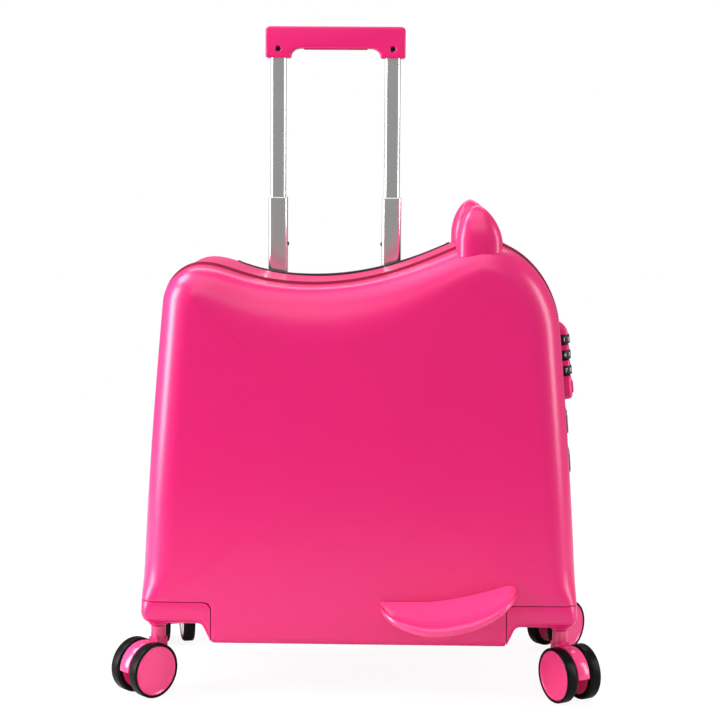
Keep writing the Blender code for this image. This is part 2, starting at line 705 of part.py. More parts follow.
def make_tray(finish):
    """The tray that the grip parks in: its rim follows the top of the fixed shell."""
    x0, x1 = TRAY_X - TRAY_LENGTH / 2, TRAY_X + TRAY_LENGTH / 2
    y0, y1 = TROLLEY_Y - TRAY_WIDTH / 2, TROLLEY_Y + TRAY_WIDTH / 2
    floor, top = TRAY_FLOOR_Z - TRAY_FLOOR, RIGHT_HUMP_Z + EAR_HEIGHT
    part = case_form("trolley_tray", 1, REAR_OPEN, 0, finish)
    combine(part, box("tray_outside", (x0, y0, floor), (x1, y1, top)), "INTERSECT")
    well_low = (x0 + TRAY_WALL, y0 + TRAY_WALL, TRAY_FLOOR_Z)
    combine(part, box("tray_inside", well_low, (x1 - TRAY_WALL, y1 - TRAY_WALL, top + CUT)))
    for side, x in TUBES.items():
        hole = [size / 2 + SLIDE for size in MIDDLE_TUBE]
        cut = box(
            f"tray_hole_{side}",
            (x - hole[0], TROLLEY_Y - hole[1], floor - CUT),
            (x + hole[0], TROLLEY_Y + hole[1], TRAY_FLOOR_Z + CUT),
        )
        combine(part, cut)
    opening = box("tray_opening", (x0 - FIT, y0 - FIT, floor - FIT), (x1 + FIT, y1 + FIT, top))
    return part, opening


def make_bracket(finish):
    """The bottom bracket that ties both base tubes to the floor of the fixed shell."""
    reach_x = TUBE_SPACING / 2 + BASE_TUBE[0] / 2 + BRACKET_WALL
    reach_y = BASE_TUBE[1] / 2 + BRACKET_WALL / 2
    low = (TROLLEY_X - reach_x, TROLLEY_Y - reach_y, BRACKET_Z)
    high = (TROLLEY_X + reach_x, TROLLEY_Y + reach_y, BRACKET_Z + BRACKET_HEIGHT)
    part = soften(box("trolley_bracket", low, high, finish), BRACKET_EDGE, 1)
    for side, x in TUBES.items():
        socket = [size / 2 + FIT for size in BASE_TUBE]
        cut = box(
            f"bracket_socket_{side}",
            (x - socket[0], TROLLEY_Y - socket[1], BRACKET_Z + BRACKET_FLOOR - FIT),
            (x + socket[0], TROLLEY_Y + socket[1], high[2] + CUT),
        )
        combine(part, cut)
    return part


def make_stage_tubes(finishes):
    """The base, middle and inner tubes of both legs, with the lock pins of the middle stage."""
    metal, black = finishes
    base, stage_1, stage_2 = [], [], []
    for side, x in TUBES.items():
        base.append(tube(f"base_tube_{side}", x, BASE_TUBE, BRACKET_Z + BRACKET_FLOOR, BASE_TOP_Z, metal))
        middle_low = TRAY_FLOOR_Z - STAGE_1_OVERLAP
        middle = tube(f"middle_tube_{side}", x, MIDDLE_TUBE, middle_low, MIDDLE_TOP_Z, metal)
        towards = math.copysign(1, TROLLEY_X - x)
        pin_z = MIDDLE_TOP_Z - PIN_BELOW_TOP
        face = x + towards * MIDDLE_TUBE[0] / 2
        start = (face - towards * TUBE_WALL, TROLLEY_Y, pin_z)
        end = (face + towards * PIN_PROUD, TROLLEY_Y, pin_z)
        pin = cylinder(f"lock_pin_{side}", PIN_RADIUS, start, end, black, 12)
        hole_start = (face - towards * (TUBE_WALL + SLIDE), TROLLEY_Y, pin_z)
        hole_end = (face + towards * CUT, TROLLEY_Y, pin_z)
        combine(middle, cylinder(f"pin_hole_{side}", PIN_RADIUS + FIT, hole_start, hole_end, None, 12))
        stage_1 += [middle, pin]
        inner = tube(f"inner_tube_{side}", x, INNER_TUBE, MIDDLE_TOP_Z - STAGE_2_OVERLAP, TUBE_TOP_Z, metal)
        across = cylinder(
            f"screw_hole_{side}",
            SCREW_SHANK_RADIUS + FIT,
            (x, TROLLEY_Y - GRIP_DEPTH, GRIP_FOOT_Z + SCREW_HEIGHT),
            (x, TROLLEY_Y + GRIP_DEPTH, GRIP_FOOT_Z + SCREW_HEIGHT),
            None,
            12,
        )
        combine(inner, across)
        stage_2.append(inner)
    return base, stage_1, stage_2


def grip_outline():
    """The grip seen from the front: a bar with a leg at each end and a rounded arch between them."""
    leg = INNER_TUBE[0] / 2 + GRIP_LEG_MARGIN
    reach = TUBE_SPACING / 2 + leg
    arch = TUBE_SPACING / 2 - leg
    top = GRIP_TOP_Z - GRIP_ROUND
    points = arc((TROLLEY_X + reach - GRIP_ROUND, top), GRIP_ROUND, 0, 90, 3)
    points += arc((TROLLEY_X - reach + GRIP_ROUND, top), GRIP_ROUND, 90, 180, 3)
    points += [(TROLLEY_X - reach, GRIP_FOOT_Z), (TROLLEY_X - arch, GRIP_FOOT_Z)]
    arch_z = GRIP_UNDER_Z - GRIP_ARCH_ROUND
    points += arc((TROLLEY_X - arch + GRIP_ARCH_ROUND, arch_z), GRIP_ARCH_ROUND, 180, 90, 3)
    points += arc((TROLLEY_X + arch - GRIP_ARCH_ROUND, arch_z), GRIP_ARCH_ROUND, 90, 0, 3)
    points += [(TROLLEY_X + arch, GRIP_FOOT_Z), (TROLLEY_X + reach, GRIP_FOOT_Z)]
    return points


def grip_cutters():
    """What both grip halves share: the hollow for the yoke, the slot for the bar and the tube sockets."""
    reach = TUBE_SPACING / 2 + INNER_TUBE[0] / 2
    half = GRIP_DEPTH / 2 - GRIP_SIDE_SKIN
    low = (TROLLEY_X - reach, TROLLEY_Y - half, TUBE_TOP_Z)
    high = (TROLLEY_X + reach, TROLLEY_Y + half, TUBE_TOP_Z + GRIP_HOLLOW_HEIGHT)
    found = [box("grip_hollow", low, high)]
    slot_half, slot_width = BAR_LENGTH / 2 + FIT, BAR_WIDTH / 2 + FIT
    found.append(
        box(
            "grip_slot",
            (BAR_X - slot_half, TROLLEY_Y - slot_width, GRIP_UNDER_Z - CUT),
            (BAR_X + slot_half, TROLLEY_Y + slot_width, TUBE_TOP_Z + CUT),
        )
    )
    for side, x in TUBES.items():
        socket = [size / 2 + FIT for size in INNER_TUBE]
        found.append(
            box(
                f"grip_socket_{side}",
                (x - socket[0], TROLLEY_Y - socket[1], GRIP_FOOT_Z - CUT),
                (x + socket[0], TROLLEY_Y + socket[1], TUBE_TOP_Z + MELD),
            )
        )
    return found


def make_grip(finishes):
    """The two moulded halves of the grip and the screws that hold them to the tubes."""
    pink, steel = finishes
    shared = grip_cutters()
    halves = []
    for name, side in (("grip_front", -1), ("grip_rear", 1)):
        near, far = TROLLEY_Y + side * FIT / 2, TROLLEY_Y + side * GRIP_DEPTH / 2
        part = prism(name, grip_outline(), near, far, pink)
        rim = part.data.attributes.new("bevel_weight_edge", "FLOAT", "EDGE")
        for edge in part.data.edges:
            on_face = [abs(part.data.vertices[i].co.y - far) < FIT / 2 for i in edge.vertices]
            rim.data[edge.index].value = float(all(on_face))
        change = part.modifiers.new("Edges", "BEVEL")
        change.width = GRIP_EDGE
        change.segments = 2
        change.limit_method = "WEIGHT"
        for cut in shared:
            combine(part, cut)
        halves.append(part)
    screw_z = GRIP_FOOT_Z + SCREW_HEIGHT
    face = TROLLEY_Y - GRIP_DEPTH / 2
    end = TROLLEY_Y + SCREW_BITE
    screws = []
    for side, x in TUBES.items():
        start = (x, face - CUT, screw_z)
        bore = cylinder(f"grip_bore_{side}", SCREW_SHANK_RADIUS + FIT, start, (x, end + FIT, screw_z), None, 12)
        recess_end = (x, face + SCREW_RECESS, screw_z)
        recess = cylinder(f"grip_recess_{side}", SCREW_HEAD_RADIUS + FIT, start, recess_end, None, 12)
        combine(halves[0], bore)
        combine(halves[0], recess)
        combine(halves[1], bore)
        seat = face + SCREW_RECESS - FIT
        head_ends = [(x, seat - SCREW_HEAD_HEIGHT, screw_z), (x, seat, screw_z)]
        head = cylinder(f"grip_screw_{side}", SCREW_HEAD_RADIUS, *head_ends, steel, 12)
        shank_ends = [(x, seat - SCREW_HEAD_HEIGHT / 2, screw_z), (x, end, screw_z)]
        combine(head, cylinder(f"shank_{side}", SCREW_SHANK_RADIUS, *shank_ends, None, 12), "UNION")
        screws.append(head)
    return halves, screws


def make_release(finishes):
    """The release bar under the grip, its yoke, and the two rods that reach down the inner tubes."""
    black, steel = finishes
    yoke_low = TUBE_TOP_Z + YOKE_HEIGHT
    yoke_half = TUBE_SPACING / 2 + INNER_TUBE[0] / 2 - YOKE_HEIGHT
    bar_half, bottom = BAR_LENGTH / 2, GRIP_UNDER_Z - BAR_PROUD
    outline = [(BAR_X - bar_half, bottom), (BAR_X + bar_half, bottom), (BAR_X + bar_half, yoke_low)]
    outline += [(TROLLEY_X + yoke_half, yoke_low), (TROLLEY_X + yoke_half, yoke_low + YOKE_HEIGHT)]
    outline += [(TROLLEY_X - yoke_half, yoke_low + YOKE_HEIGHT), (TROLLEY_X - yoke_half, yoke_low)]
    outline += [(BAR_X - bar_half, yoke_low)]
    bar = prism("release_bar", outline, TROLLEY_Y - BAR_WIDTH / 2, TROLLEY_Y + BAR_WIDTH / 2, black)
    rods = []
    for side, x in TUBES.items():
        at = x + math.copysign(ROD_OFFSET, TROLLEY_X - x)
        foot = MIDDLE_TOP_Z - STAGE_2_OVERLAP + ROD_END_MARGIN
        ends = [(at, TROLLEY_Y, foot), (at, TROLLEY_Y, yoke_low - FIT)]
        rods.append(cylinder(f"release_rod_{side}", ROD_RADIUS, *ends, steel, 8))
    return bar, rods


def fork_outline():
    """The fork's web seen from the side: fender over the wheels, neck under the post, boss round the axle."""
    fender = WHEEL_RADIUS - FENDER_MARGIN
    neck = FORK_WIDTH / 2 - FIT
    boss = AXLE_RADIUS + AXLE_BOSS
    axle = (CASTER_TRAIL, WHEEL_RADIUS)
    lead = math.degrees(math.acos((neck - CASTER_TRAIL) / fender))
    points = arc(axle, fender, 0, lead, 7)
    top = 2 * WHEEL_RADIUS
    points += [(neck, top), (-neck, top), (-neck, WHEEL_RADIUS + boss)]
    points += arc(axle, boss, 205, 335, 4)
    return points


def make_fork(name, finish):
    half = FORK_WIDTH / 2
    part = prism(name, fork_outline(), -half, half, finish)
    post_foot = 2 * WHEEL_RADIUS - MELD
    post = cylinder(f"{name}_post", POST_RADIUS, (0, 0, post_foot), (0, 0, ARCH_Z - BOSS_DROP - FIT))
    stem = cylinder(f"{name}_stem", STEM_RADIUS, (0, 0, post_foot + MELD), (0, 0, ARCH_Z + STEM_LENGTH))
    bore_ends = [(CASTER_TRAIL, side * FORK_WIDTH, WHEEL_RADIUS) for side in (-1, 1)]
    bore = cylinder(f"{name}_bore", AXLE_RADIUS + FIT, *bore_ends)
    combine(part, post, "UNION")
    combine(part, stem, "UNION")
    combine(part, bore)
    return part, [post, stem, bore]


def hub_profile():
    """Radius and height of the hub: dished face, flange, barrel, then the end of its axle bore."""
    width, rim = TYRE_WIDTH - HUB_RECESS, HUB_RADIUS + HUB_FLANGE
    bore = AXLE_RADIUS + FIT
    face = width - HUB_RECESS
    profile = [(0, face), (rim - HUB_RIM - HUB_RECESS, face), (rim - HUB_RIM, width), (rim - HUB_EDGE, width)]
    profile += [(rim, width - HUB_EDGE), (rim, width - HUB_FLANGE_THICKNESS)]
    profile += [(HUB_RADIUS, width - HUB_FLANGE_THICKNESS), (HUB_RADIUS, 0)]
    profile += [(bore, 0), (bore, width - HUB_FACE), (0, width - HUB_FACE)]
    return profile


def tyre_profile():
    """Radius and height of the tyre, round its section: seat for the hub's flange, tread, barrel bore."""
    inner, outer = HUB_RADIUS + FIT, WHEEL_RADIUS
    seat = inner + HUB_FLANGE
    seat_low = TYRE_WIDTH - HUB_RECESS - HUB_FLANGE_THICKNESS - FIT
    low, high = TYRE_ROUND, TYRE_WIDTH - TYRE_LIP_ROUND
    profile = [(inner, seat_low), (seat, seat_low), (seat, TYRE_WIDTH)]
    profile += [(outer - TYRE_LIP_ROUND + dx, high + dz) for dx, dz in arc((0, 0), TYRE_LIP_ROUND, 90, 0, 2)]
    profile += [(outer - TYRE_ROUND + dx, low + dz) for dx, dz in arc((0, 0), TYRE_ROUND, 0, -90, 2)]
    profile += [(inner, 0)]
    return profile


def make_caster(place, swivel, finishes):
    """A caster about its own swivel axis, trailing towards +X, turned to its angle by its empty."""
    pink, black, steel = finishes
    name = f"caster_{place}"
    fork, helpers = make_fork(f"{name}_fork", pink)
    half = FORK_WIDTH / 2 + FIT
    reach = half + TYRE_WIDTH - HUB_RECESS - HUB_FACE - FIT
    axle_ends = [(CASTER_TRAIL, side * reach, WHEEL_RADIUS) for side in (-1, 1)]
    axle = cylinder(f"{name}_axle", AXLE_RADIUS, *axle_ends, steel)
    place_on(swivel, fork, axle, *helpers)
    for letter, side in (("a", -1), ("b", 1)):
        hub = turned(f"{name}_hub_{letter}", hub_profile(), pink)
        tyre = turned(f"{name}_tyre_{letter}", tyre_profile(), black, closed=True)
        for piece in (hub, tyre):
            piece.location = (CASTER_TRAIL, side * half, WHEEL_RADIUS)
            piece.rotation_euler = (-side * math.pi / 2, 0, 0)
        place_on(swivel, hub, tyre)


def door_axis():
    """A point of the door's hinge line and its lean: it touches the plain end of the case from outside."""
    count = len(OUTLINE)
    side = [OUTLINE[i] for i in range(count) if OUTLINE[i][0] < -HALF_LENGTH + LEFT_HUMP_IN / 2]
    foot_z = min(z for x, z in side) + CORNER_RADIUS
    lean = math.atan2(LEFT_LEAN, LEFT_HUMP_Z - LEFT_SHOULDER_DROP - foot_z)
    offset = min(x - math.tan(lean) * z for x, z in side) - FIT
    return offset, lean


def main():
    global collection, cutters, OUTLINE
    clear_scene()
    collection = new_collection("kids_suitcase")
    cutters = new_collection("cutters")
    OUTLINE = case_outline()

    pink = material("pink_abs", (0.78, 0.02, 0.165), 0.3)
    soft_pink = material("pink_nylon", (0.83, 0.09, 0.22), 0.35)
    seam_red = material("zip_tape_red", (0.27, 0.002, 0.025), 0.8)
    black = material("black_rubber", (0.012, 0.012, 0.014), 0.55)
    black_plastic = material("black_plastic", (0.02, 0.018, 0.02), 0.4)
    aluminium = material("aluminium", (0.55, 0.56, 0.55), 0.3, 1.0)
    steel = material("steel", (0.5, 0.5, 0.52), 0.35, 1.0)

    front_shell = make_shell("front_shell", -1, FRONT_OPEN, pink)
    rear_shell = make_shell("rear_shell", 1, REAR_OPEN, pink)
    band = make_band(pink)
    zip_tape = make_zip(seam_red)
    housings = {}
    for place, side_x, side_y in (
        ("front_left", -1, -1),
        ("front_right", 1, -1),
        ("rear_left", -1, 1),
        ("rear_right", 1, 1),
    ):
        open_y = FRONT_OPEN if side_y < 0 else REAR_OPEN
        housings[place] = make_housing(f"housing_{place}", side_x, side_y, open_y, pink)
    ears = [make_ear("ear_front", -1, pink), make_ear("ear_rear", 1, pink)]
    rests = [make_foot_rest("foot_rest_front", -1, soft_pink), make_foot_rest("foot_rest_rear", 1, soft_pink)]

    tray, tray_opening = make_tray(black_plastic)
    combine(rear_shell, tray_opening)
    make_bracket(black_plastic)
    base, stage_1_parts, stage_2_parts = make_stage_tubes((aluminium, black_plastic))
    halves, screws = make_grip((pink, steel))
    bar, rods = make_release((pink, steel))
    lock_body, lock_hole = make_lock((pink, black_plastic))
    combine(band, lock_hole)
    below_lock = LOCK_CENTRE_Z - LOCK_LENGTH / 2
    make_slider("zip_slider_upper", below_lock - SLIDER_LENGTH, steel)
    make_slider("zip_slider_lower", below_lock - SLIDER_LENGTH - SLIDER_PITCH, steel)

    offset, lean = door_axis()
    hinge = empty("door_hinge", (offset, -SEAM, 0), (0, lean, 0))
    carry(hinge, front_shell, housings["front_left"], housings["front_right"], ears[0], rests[0])
    stage_1 = empty("trolley_stage_1", (TROLLEY_X, TROLLEY_Y, TRAY_FLOOR_Z))
    stage_2 = empty("trolley_stage_2", (TROLLEY_X, TROLLEY_Y, MIDDLE_TOP_Z), parent=stage_1)
    release = empty("trolley_release", (BAR_X, TROLLEY_Y, GRIP_UNDER_Z), parent=stage_2)
    carry(stage_1, *stage_1_parts)
    carry(stage_2, *stage_2_parts, *halves, *screws)
    carry(release, bar, *rods)
    for place, yaw in CASTER_YAWS.items():
        side_x = 1 if place.endswith("right") else -1
        side_y = 1 if place.startswith("rear") else -1
        parent = hinge if side_y < 0 else None
        swivel = empty(f"{place}_swivel", (side_x * SWIVEL_X, side_y * SWIVEL_Y, 0), (0, 0, yaw), parent)
        make_caster(place, swivel, (soft_pink, black, steel))


main()
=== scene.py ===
import json
import math

import bmesh
import bpy
from mathutils import Matrix, Vector
from mathutils.geometry import interpolate_bezier


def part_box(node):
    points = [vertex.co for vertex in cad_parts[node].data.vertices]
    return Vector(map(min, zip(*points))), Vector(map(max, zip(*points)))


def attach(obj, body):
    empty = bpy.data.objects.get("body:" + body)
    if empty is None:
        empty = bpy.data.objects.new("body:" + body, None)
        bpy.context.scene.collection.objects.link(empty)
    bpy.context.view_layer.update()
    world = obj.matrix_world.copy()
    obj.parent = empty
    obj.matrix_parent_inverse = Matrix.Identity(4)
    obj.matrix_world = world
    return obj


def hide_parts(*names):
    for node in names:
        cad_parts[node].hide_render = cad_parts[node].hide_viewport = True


# Looks of a child's ride-on suitcase, built round its packed construction.
# Shapes are worked out in millimetres and turned to metres when a piece is made.

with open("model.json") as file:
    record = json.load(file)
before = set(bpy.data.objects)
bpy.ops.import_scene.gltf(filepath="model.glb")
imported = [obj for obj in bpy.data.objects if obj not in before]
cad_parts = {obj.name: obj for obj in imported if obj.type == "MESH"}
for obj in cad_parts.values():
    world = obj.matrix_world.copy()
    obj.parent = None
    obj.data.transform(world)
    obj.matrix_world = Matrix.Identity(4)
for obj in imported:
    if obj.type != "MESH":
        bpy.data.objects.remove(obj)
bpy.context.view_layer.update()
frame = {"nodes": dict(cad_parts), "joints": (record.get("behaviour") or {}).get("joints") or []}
mm = 0.001
joints = {joint["child"]: joint for joint in frame["joints"]}


def nodeBox(node):
    low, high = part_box(node)
    return low / mm, high / mm


def boxFacts(node):  # the middle of a node's box, its half sizes across, its bottom and its top
    low, high = nodeBox(node)
    return (low + high) / 2, (high.x - low.x) / 2, (high.y - low.y) / 2, low.z, high.z


def jointPoint(body):
    return Vector(joints[body]["pos_m"]) / mm


def placed(point, angle, axis):  # at a point, turned by an angle in degrees
    return Matrix.Translation(point) @ Matrix.Rotation(math.radians(angle), 4, axis)


def spansOf(points):  # each point of a closed line with the next one
    return list(zip(points, points[1:] + points[:1]))


def atHeight(section, z):
    return [(x, y, z) for x, y in section]


def atDepth(section, y):
    return [(x, y, z) for x, z in section]


# Building and placing pieces

def joinLoops(shape, pairs, spans):
    for near, far in pairs:
        for i in range(spans):
            j = (i + 1) % len(near)
            shape.faces.new((near[i], near[j], far[j], far[i]))


def skinOver(shape, rings, closed=False):  # a skin over like rings, with flat ends or joined round
    loops = [[shape.verts.new(point) for point in ring] for ring in rings]
    if not closed:
        shape.faces.new(loops[0])
        shape.faces.new(loops[-1])
    joinLoops(shape, spansOf(loops) if closed else spansOf(loops)[:-1], len(rings[0]))


def makePiece(name, shape, finish, sharp=35, turn=None):  # shape is a bmesh in mm, turn puts it in its place
    bmesh.ops.recalc_face_normals(shape, faces=shape.faces)
    if turn is not None:
        bmesh.ops.transform(shape, matrix=turn, verts=shape.verts)
    bmesh.ops.scale(shape, vec=(mm, mm, mm), verts=shape.verts)
    mesh = bpy.data.meshes.new(name)
    shape.to_mesh(mesh)
    shape.free()
    mesh.materials.append(finish)
    piece = bpy.data.objects.new(name, mesh)
    bpy.context.scene.collection.objects.link(piece)
    return shadeSoft(piece, sharp)


def shadeSoft(piece, sharp=35):
    piece.data.shade_smooth()
    piece.data.set_sharp_from_angle(angle=math.radians(sharp))
    return piece


def skinPiece(name, rings, finish, closed=False, sharp=35, turn=None):
    shape = bmesh.new()
    skinOver(shape, rings, closed)
    return makePiece(name, shape, finish, sharp, turn)


def prism(name, section, low, high, finish):  # a straight bar of one section, from low to high
    return skinPiece(name, [atHeight(section, z) for z in (low, high)], finish)


def peg(name, section, low, high, place):  # a straight bar that points out of the end of the case
    rings = [[(out, across, z) for across, z in section] for out in (low, high)]
    return skinPiece(name, rings, pinkAbs, turn=place)


def carve(piece, tool, operation="DIFFERENCE"):  # a boolean that is applied at once
    change = piece.modifiers.new("carve", "BOOLEAN")
    change.operation = operation
    change.object = tool
    change.solver = "EXACT"
    shown = piece.evaluated_get(bpy.context.evaluated_depsgraph_get())
    carved = bpy.data.meshes.new_from_object(shown)
    piece.modifiers.clear()
    piece.data = carved
    bpy.data.objects.remove(tool)
    return shadeSoft(piece)


def copyOf(piece, name):
    made = bpy.data.objects.new(name, piece.data.copy())
    bpy.context.scene.collection.objects.link(made)
    return made


def roundEdges(piece, width, segments, wanted):  # rounds the sharp edges that wanted(middle) picks, in mm
    shape = bmesh.new()
    shape.from_mesh(piece.data)
    bmesh.ops.remove_doubles(shape, verts=shape.verts, dist=0.01 * mm)
    picked = []
    for edge in shape.edges:
        middle = (edge.verts[0].co + edge.verts[1].co) / 2 / mm
        if len(edge.link_faces) == 2 and edge.calc_face_angle(0) > math.radians(50) and wanted(middle):
            picked.append(edge)
    bmesh.ops.bevel(
        shape, geom=picked, offset=width * mm, segments=segments, profile=0.5, affect="EDGES",
        clamp_overlap=True,
    )
    shape.to_mesh(piece.data)
    shape.free()
    return shadeSoft(piece)


def mount(piece, body, nodes):  # rides on its body, stands for its nodes
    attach(piece, body)
    if nodes:
        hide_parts(*nodes)
    return piece


def paintNode(node, finish):  # a construction piece that stays, in a finish of its own
    mesh = frame["nodes"][node].data
    mesh.materials.clear()
    mesh.materials.append(finish)


def arcPoints(centre, radius, start, end, steps):
    turns = [math.radians(start + (end - start) * i / steps) for i in range(steps + 1)]
    return [(centre[0] + radius * math.cos(turn), centre[1] + radius * math.sin(turn)) for turn in turns]


def roundedRectangle(halfX, halfY, radius, steps=6, centre=(0, 0)):
    radius = min(radius, halfX - 0.01, halfY - 0.01)
    corners = ((1, 1, 0), (-1, 1, 90), (-1, -1, 180), (1, -1, 270))
    points = []
    for signX, signY, start in corners:
        middle = (centre[0] + signX * (halfX - radius), centre[1] + signY * (halfY - radius))
        points += arcPoints(middle, radius, start, start + 90, steps)
    return points


def drawnIn(outline, inset):  # a closed outline of two coordinates, anticlockwise, moved inward by its mitres
    moved = []
    for i, point in enumerate(outline):
        here = Vector(point)
        before = (here - Vector(outline[i - 1])).normalized()
        after = (Vector(outline[(i + 1) % len(outline)]) - here).normalized()
        normals = [Vector((-way.y, way.x)) for way in (before, after)]
        middle = (normals[0] + normals[1]).normalized()
        moved.append(here + middle * (inset / max(middle.dot(normals[0]), 0.3)))
    return moved


def turnedPiece(name, profile, steps, finish, turn, closed=False):  # a (radius, height) profile round z
    rings = []
    for i in range(steps):
        around = 2 * math.pi * i / steps
        across, along = math.cos(around), math.sin(around)
        rings.append([(radius * across, radius * along, height) for radius, height in profile])
    shape = bmesh.new()
    loops = [[shape.verts.new(point) for point in ring] for ring in rings]
    joinLoops(shape, spansOf(loops), len(profile) if closed else len(profile) - 1)
    bmesh.ops.remove_doubles(shape, verts=shape.verts, dist=0.001)
    return makePiece(name, shape, finish, turn=turn)


# Materials

def toLinear(text):  # sRGB hex to the linear colour that a shader takes
    channels = [int(text[i:i + 2], 16) / 255 for i in (0, 2, 4)]
    return [c / 12.92 if c <= 0.04045 else ((c + 0.055) / 1.055) ** 2.4 for c in channels] + [1]


def addNode(tree, kind, settings=None, links=None):  # one node with its settings and what feeds it
    node = tree.nodes.new(kind)
    for key, value in (settings or {}).items():
        if isinstance(key, int) or key in node.inputs:
            node.inputs[key].default_value = value
        else:
            setattr(node, key, value)
    for key, source in (links or {}).items():
        tree.links.new(source, node.inputs[key])
    return node


def perSize(size):  # texture scale that gives features of this many millimetres
    return 1 / (size * mm)


def startMaterial(name, roughness, metallic=0.0, ior=None):
    made = bpy.data.materials.new(name)
    made.use_nodes = True
    tree = made.node_tree
    shader = tree.nodes["Principled BSDF"]
    shader.inputs["Roughness"].default_value = roughness
    shader.inputs["Metallic"].default_value = metallic
    if ior is not None:
        shader.inputs["IOR"].default_value = ior
    return made, tree, shader, tree.nodes.new("ShaderNodeTexCoord")


def blendColours(tree, shader, factor, first, second):  # two close shades, mixed by a pattern
    shades = {"data_type": "RGBA", 6: toLinear(first), 7: toLinear(second)}
    mix = addNode(tree, "ShaderNodeMix", shades, {0: factor})
    tree.links.new(mix.outputs[2], shader.inputs["Base Color"])


def varyRoughness(tree, shader, factor, low, high):
    spread = addNode(tree, "ShaderNodeMapRange", {"To Min": low, "To Max": high}, {"Value": factor})
    tree.links.new(spread.outputs[0], shader.inputs["Roughness"])


def addBump(tree, shader, heights):  # heights: (source, strength, depth in mm), the first lies deepest
    normal = None
    for source, strength, depth in heights:
        links = {"Height": source}
        if normal is not None:
            links["Normal"] = normal.outputs[0]
        normal = addNode(tree, "ShaderNodeBump", {"Strength": strength, "Distance": depth * mm}, links)
    tree.links.new(normal.outputs[0], shader.inputs["Normal"])


def mouldedPlastic(name, finish):  # what all the moulded plastics share: cloudy shade, grain, rubbed patches
    made, tree, shader, place = startMaterial(name, finish["roughness"], ior=finish["ior"])
    shader.inputs["Coat Weight"].default_value = finish["coat"]
    shader.inputs["Coat Roughness"].default_value = finish["coatRoughness"]
    at = {"Vector": place.outputs["Object"]}
    cloud = addNode(tree, "ShaderNodeTexNoise", {"Scale": perSize(finish["cloud"]), "Detail": 3}, at)
    patches = {"Scale": perSize(finish["rub"]), "Detail": 6, "Roughness": 0.6}
    rub = addNode(tree, "ShaderNodeTexNoise", patches, at)
    grain = addNode(tree, "ShaderNodeTexNoise", {"Scale": perSize(finish["grain"]), "Detail": 2}, at)
    blendColours(tree, shader, cloud.outputs[0], *finish["shades"])
    varyRoughness(tree, shader, rub.outputs[0], *finish["rubbed"])
    heights = [(cloud.outputs[0], finish["waves"], 0.5), (grain.outputs[0], finish["grainBump"], 0.1)]
    addBump(tree, shader, heights)
    return made


pinkAbsFinish = {  # vacuum-formed ABS: an even satin pink, soft wide highlights, faint leathery grain
    "shades": ("DC0F6C", "D90C68"), "roughness": 0.3, "rubbed": (0.27, 0.33), "ior": 1.52,
    "coat": 0.1, "coatRoughness": 0.3, "cloud": 90, "rub": 35, "grain": 0.9, "waves": 0.03, "grainBump": 0.04,
}
pinkNylonFinish = {  # injection-moulded nylon: a lighter and warmer pink, glossier on its rims
    "shades": ("E83A7C", "E63678"), "roughness": 0.2, "rubbed": (0.18, 0.22), "ior": 1.53,
    "coat": 0.1, "coatRoughness": 0.12, "cloud": 60, "rub": 30, "grain": 0.7, "waves": 0.0, "grainBump": 0.02,
}
blackPlasticFinish = {  # moulded polypropylene: soft black with a dull bloom
    "shades": ("100E12", "151317"), "roughness": 0.4, "rubbed": (0.34, 0.48), "ior": 1.45,
    "coat": 0.0, "coatRoughness": 0.3, "cloud": 20, "rub": 9, "grain": 0.5, "waves": 0.03, "grainBump": 0.12,
}
treadRubberFinish = {  # cast polyurethane tyre: deep black, half gloss, with a dusty tread
    "shades": ("020202", "040405"), "roughness": 0.32, "rubbed": (0.27, 0.38), "ior": 1.2,
    "coat": 0.0, "coatRoughness": 0.2, "cloud": 9, "rub": 5, "grain": 0.6, "waves": 0.05, "grainBump": 0.1,
}
numberPaintFinish = {  # pad-printed number: flat off-white ink, a touch raised
    "shades": ("F2F0EC", "E6E4E0"), "roughness": 0.55, "rubbed": (0.5, 0.62), "ior": 1.5,
    "coat": 0.0, "coatRoughness": 0.3, "cloud": 3, "rub": 1, "grain": 0.2, "waves": 0.02, "grainBump": 0.05,
}


def brushedMetal(name, finish):  # fine lines, a little coarser than a real 0.1 mm grit so that they show
    made, tree, shader, place = startMaterial(name, finish["roughness"], metallic=1.0)
    at = {"Vector": place.outputs["Object"]}
    stretch = addNode(tree, "ShaderNodeMapping", {"Scale": finish["stretch"]}, at)
    along = {"Vector": stretch.outputs[0]}
    lines = addNode(tree, "ShaderNodeTexNoise", {"Scale": perSize(finish["line"]), "Detail": 3}, along)
    broad = addNode(tree, "ShaderNodeTexNoise", {"Scale": perSize(finish["patch"]), "Detail": 4}, at)
    blendColours(tree, shader, broad.outputs[0], *finish["shades"])
    varyRoughness(tree, shader, lines.outputs[0], *finish["rubbed"])
    addBump(tree, shader, [(lines.outputs[0], finish["lineBump"], 0.05)])
    return made


aluminiumFinish = {  # extruded and satin anodised: pale grey with fine lines down its length
    "shades": ("E0E3E0", "E6E8E5"), "roughness": 0.2, "rubbed": (0.18, 0.23),
    "stretch": (1, 1, 0.02), "line": 0.6, "patch": 25, "lineBump": 0.02,
}
steelFinish = {  # nickel-plated steel: brighter and smoother, with small rubbed patches
    "shades": ("B9B9BC", "A9A9AD"), "roughness": 0.22, "rubbed": (0.16, 0.32),
    "stretch": (1, 1, 1), "line": 0.6, "patch": 5, "lineBump": 0.03,
}
holeShadeScrewFinish = {  # black-oxide steel: nearly black and dull, dark enough to paint the shade down in the screw holes
    "shades": ("242326", "302F33"), "roughness": 0.4, "rubbed": (0.34, 0.5),
    "stretch": (1, 1, 1), "line": 0.4, "patch": 2, "lineBump": 0.05,
}


shadedZipTapeFinish = {  # woven polyester: crimson, darkened to paint the shade of the seam it lies in, ribbed across by its weft every 0.8 mm
    "shades": ("8A0234", "96043C"), "roughness": 0.85, "ior": 1.55, "sheen": 0.05,
    "weft": 0.8, "fuzz": 0.4, "weftBump": 0.5, "fuzzBump": 0.2,
}


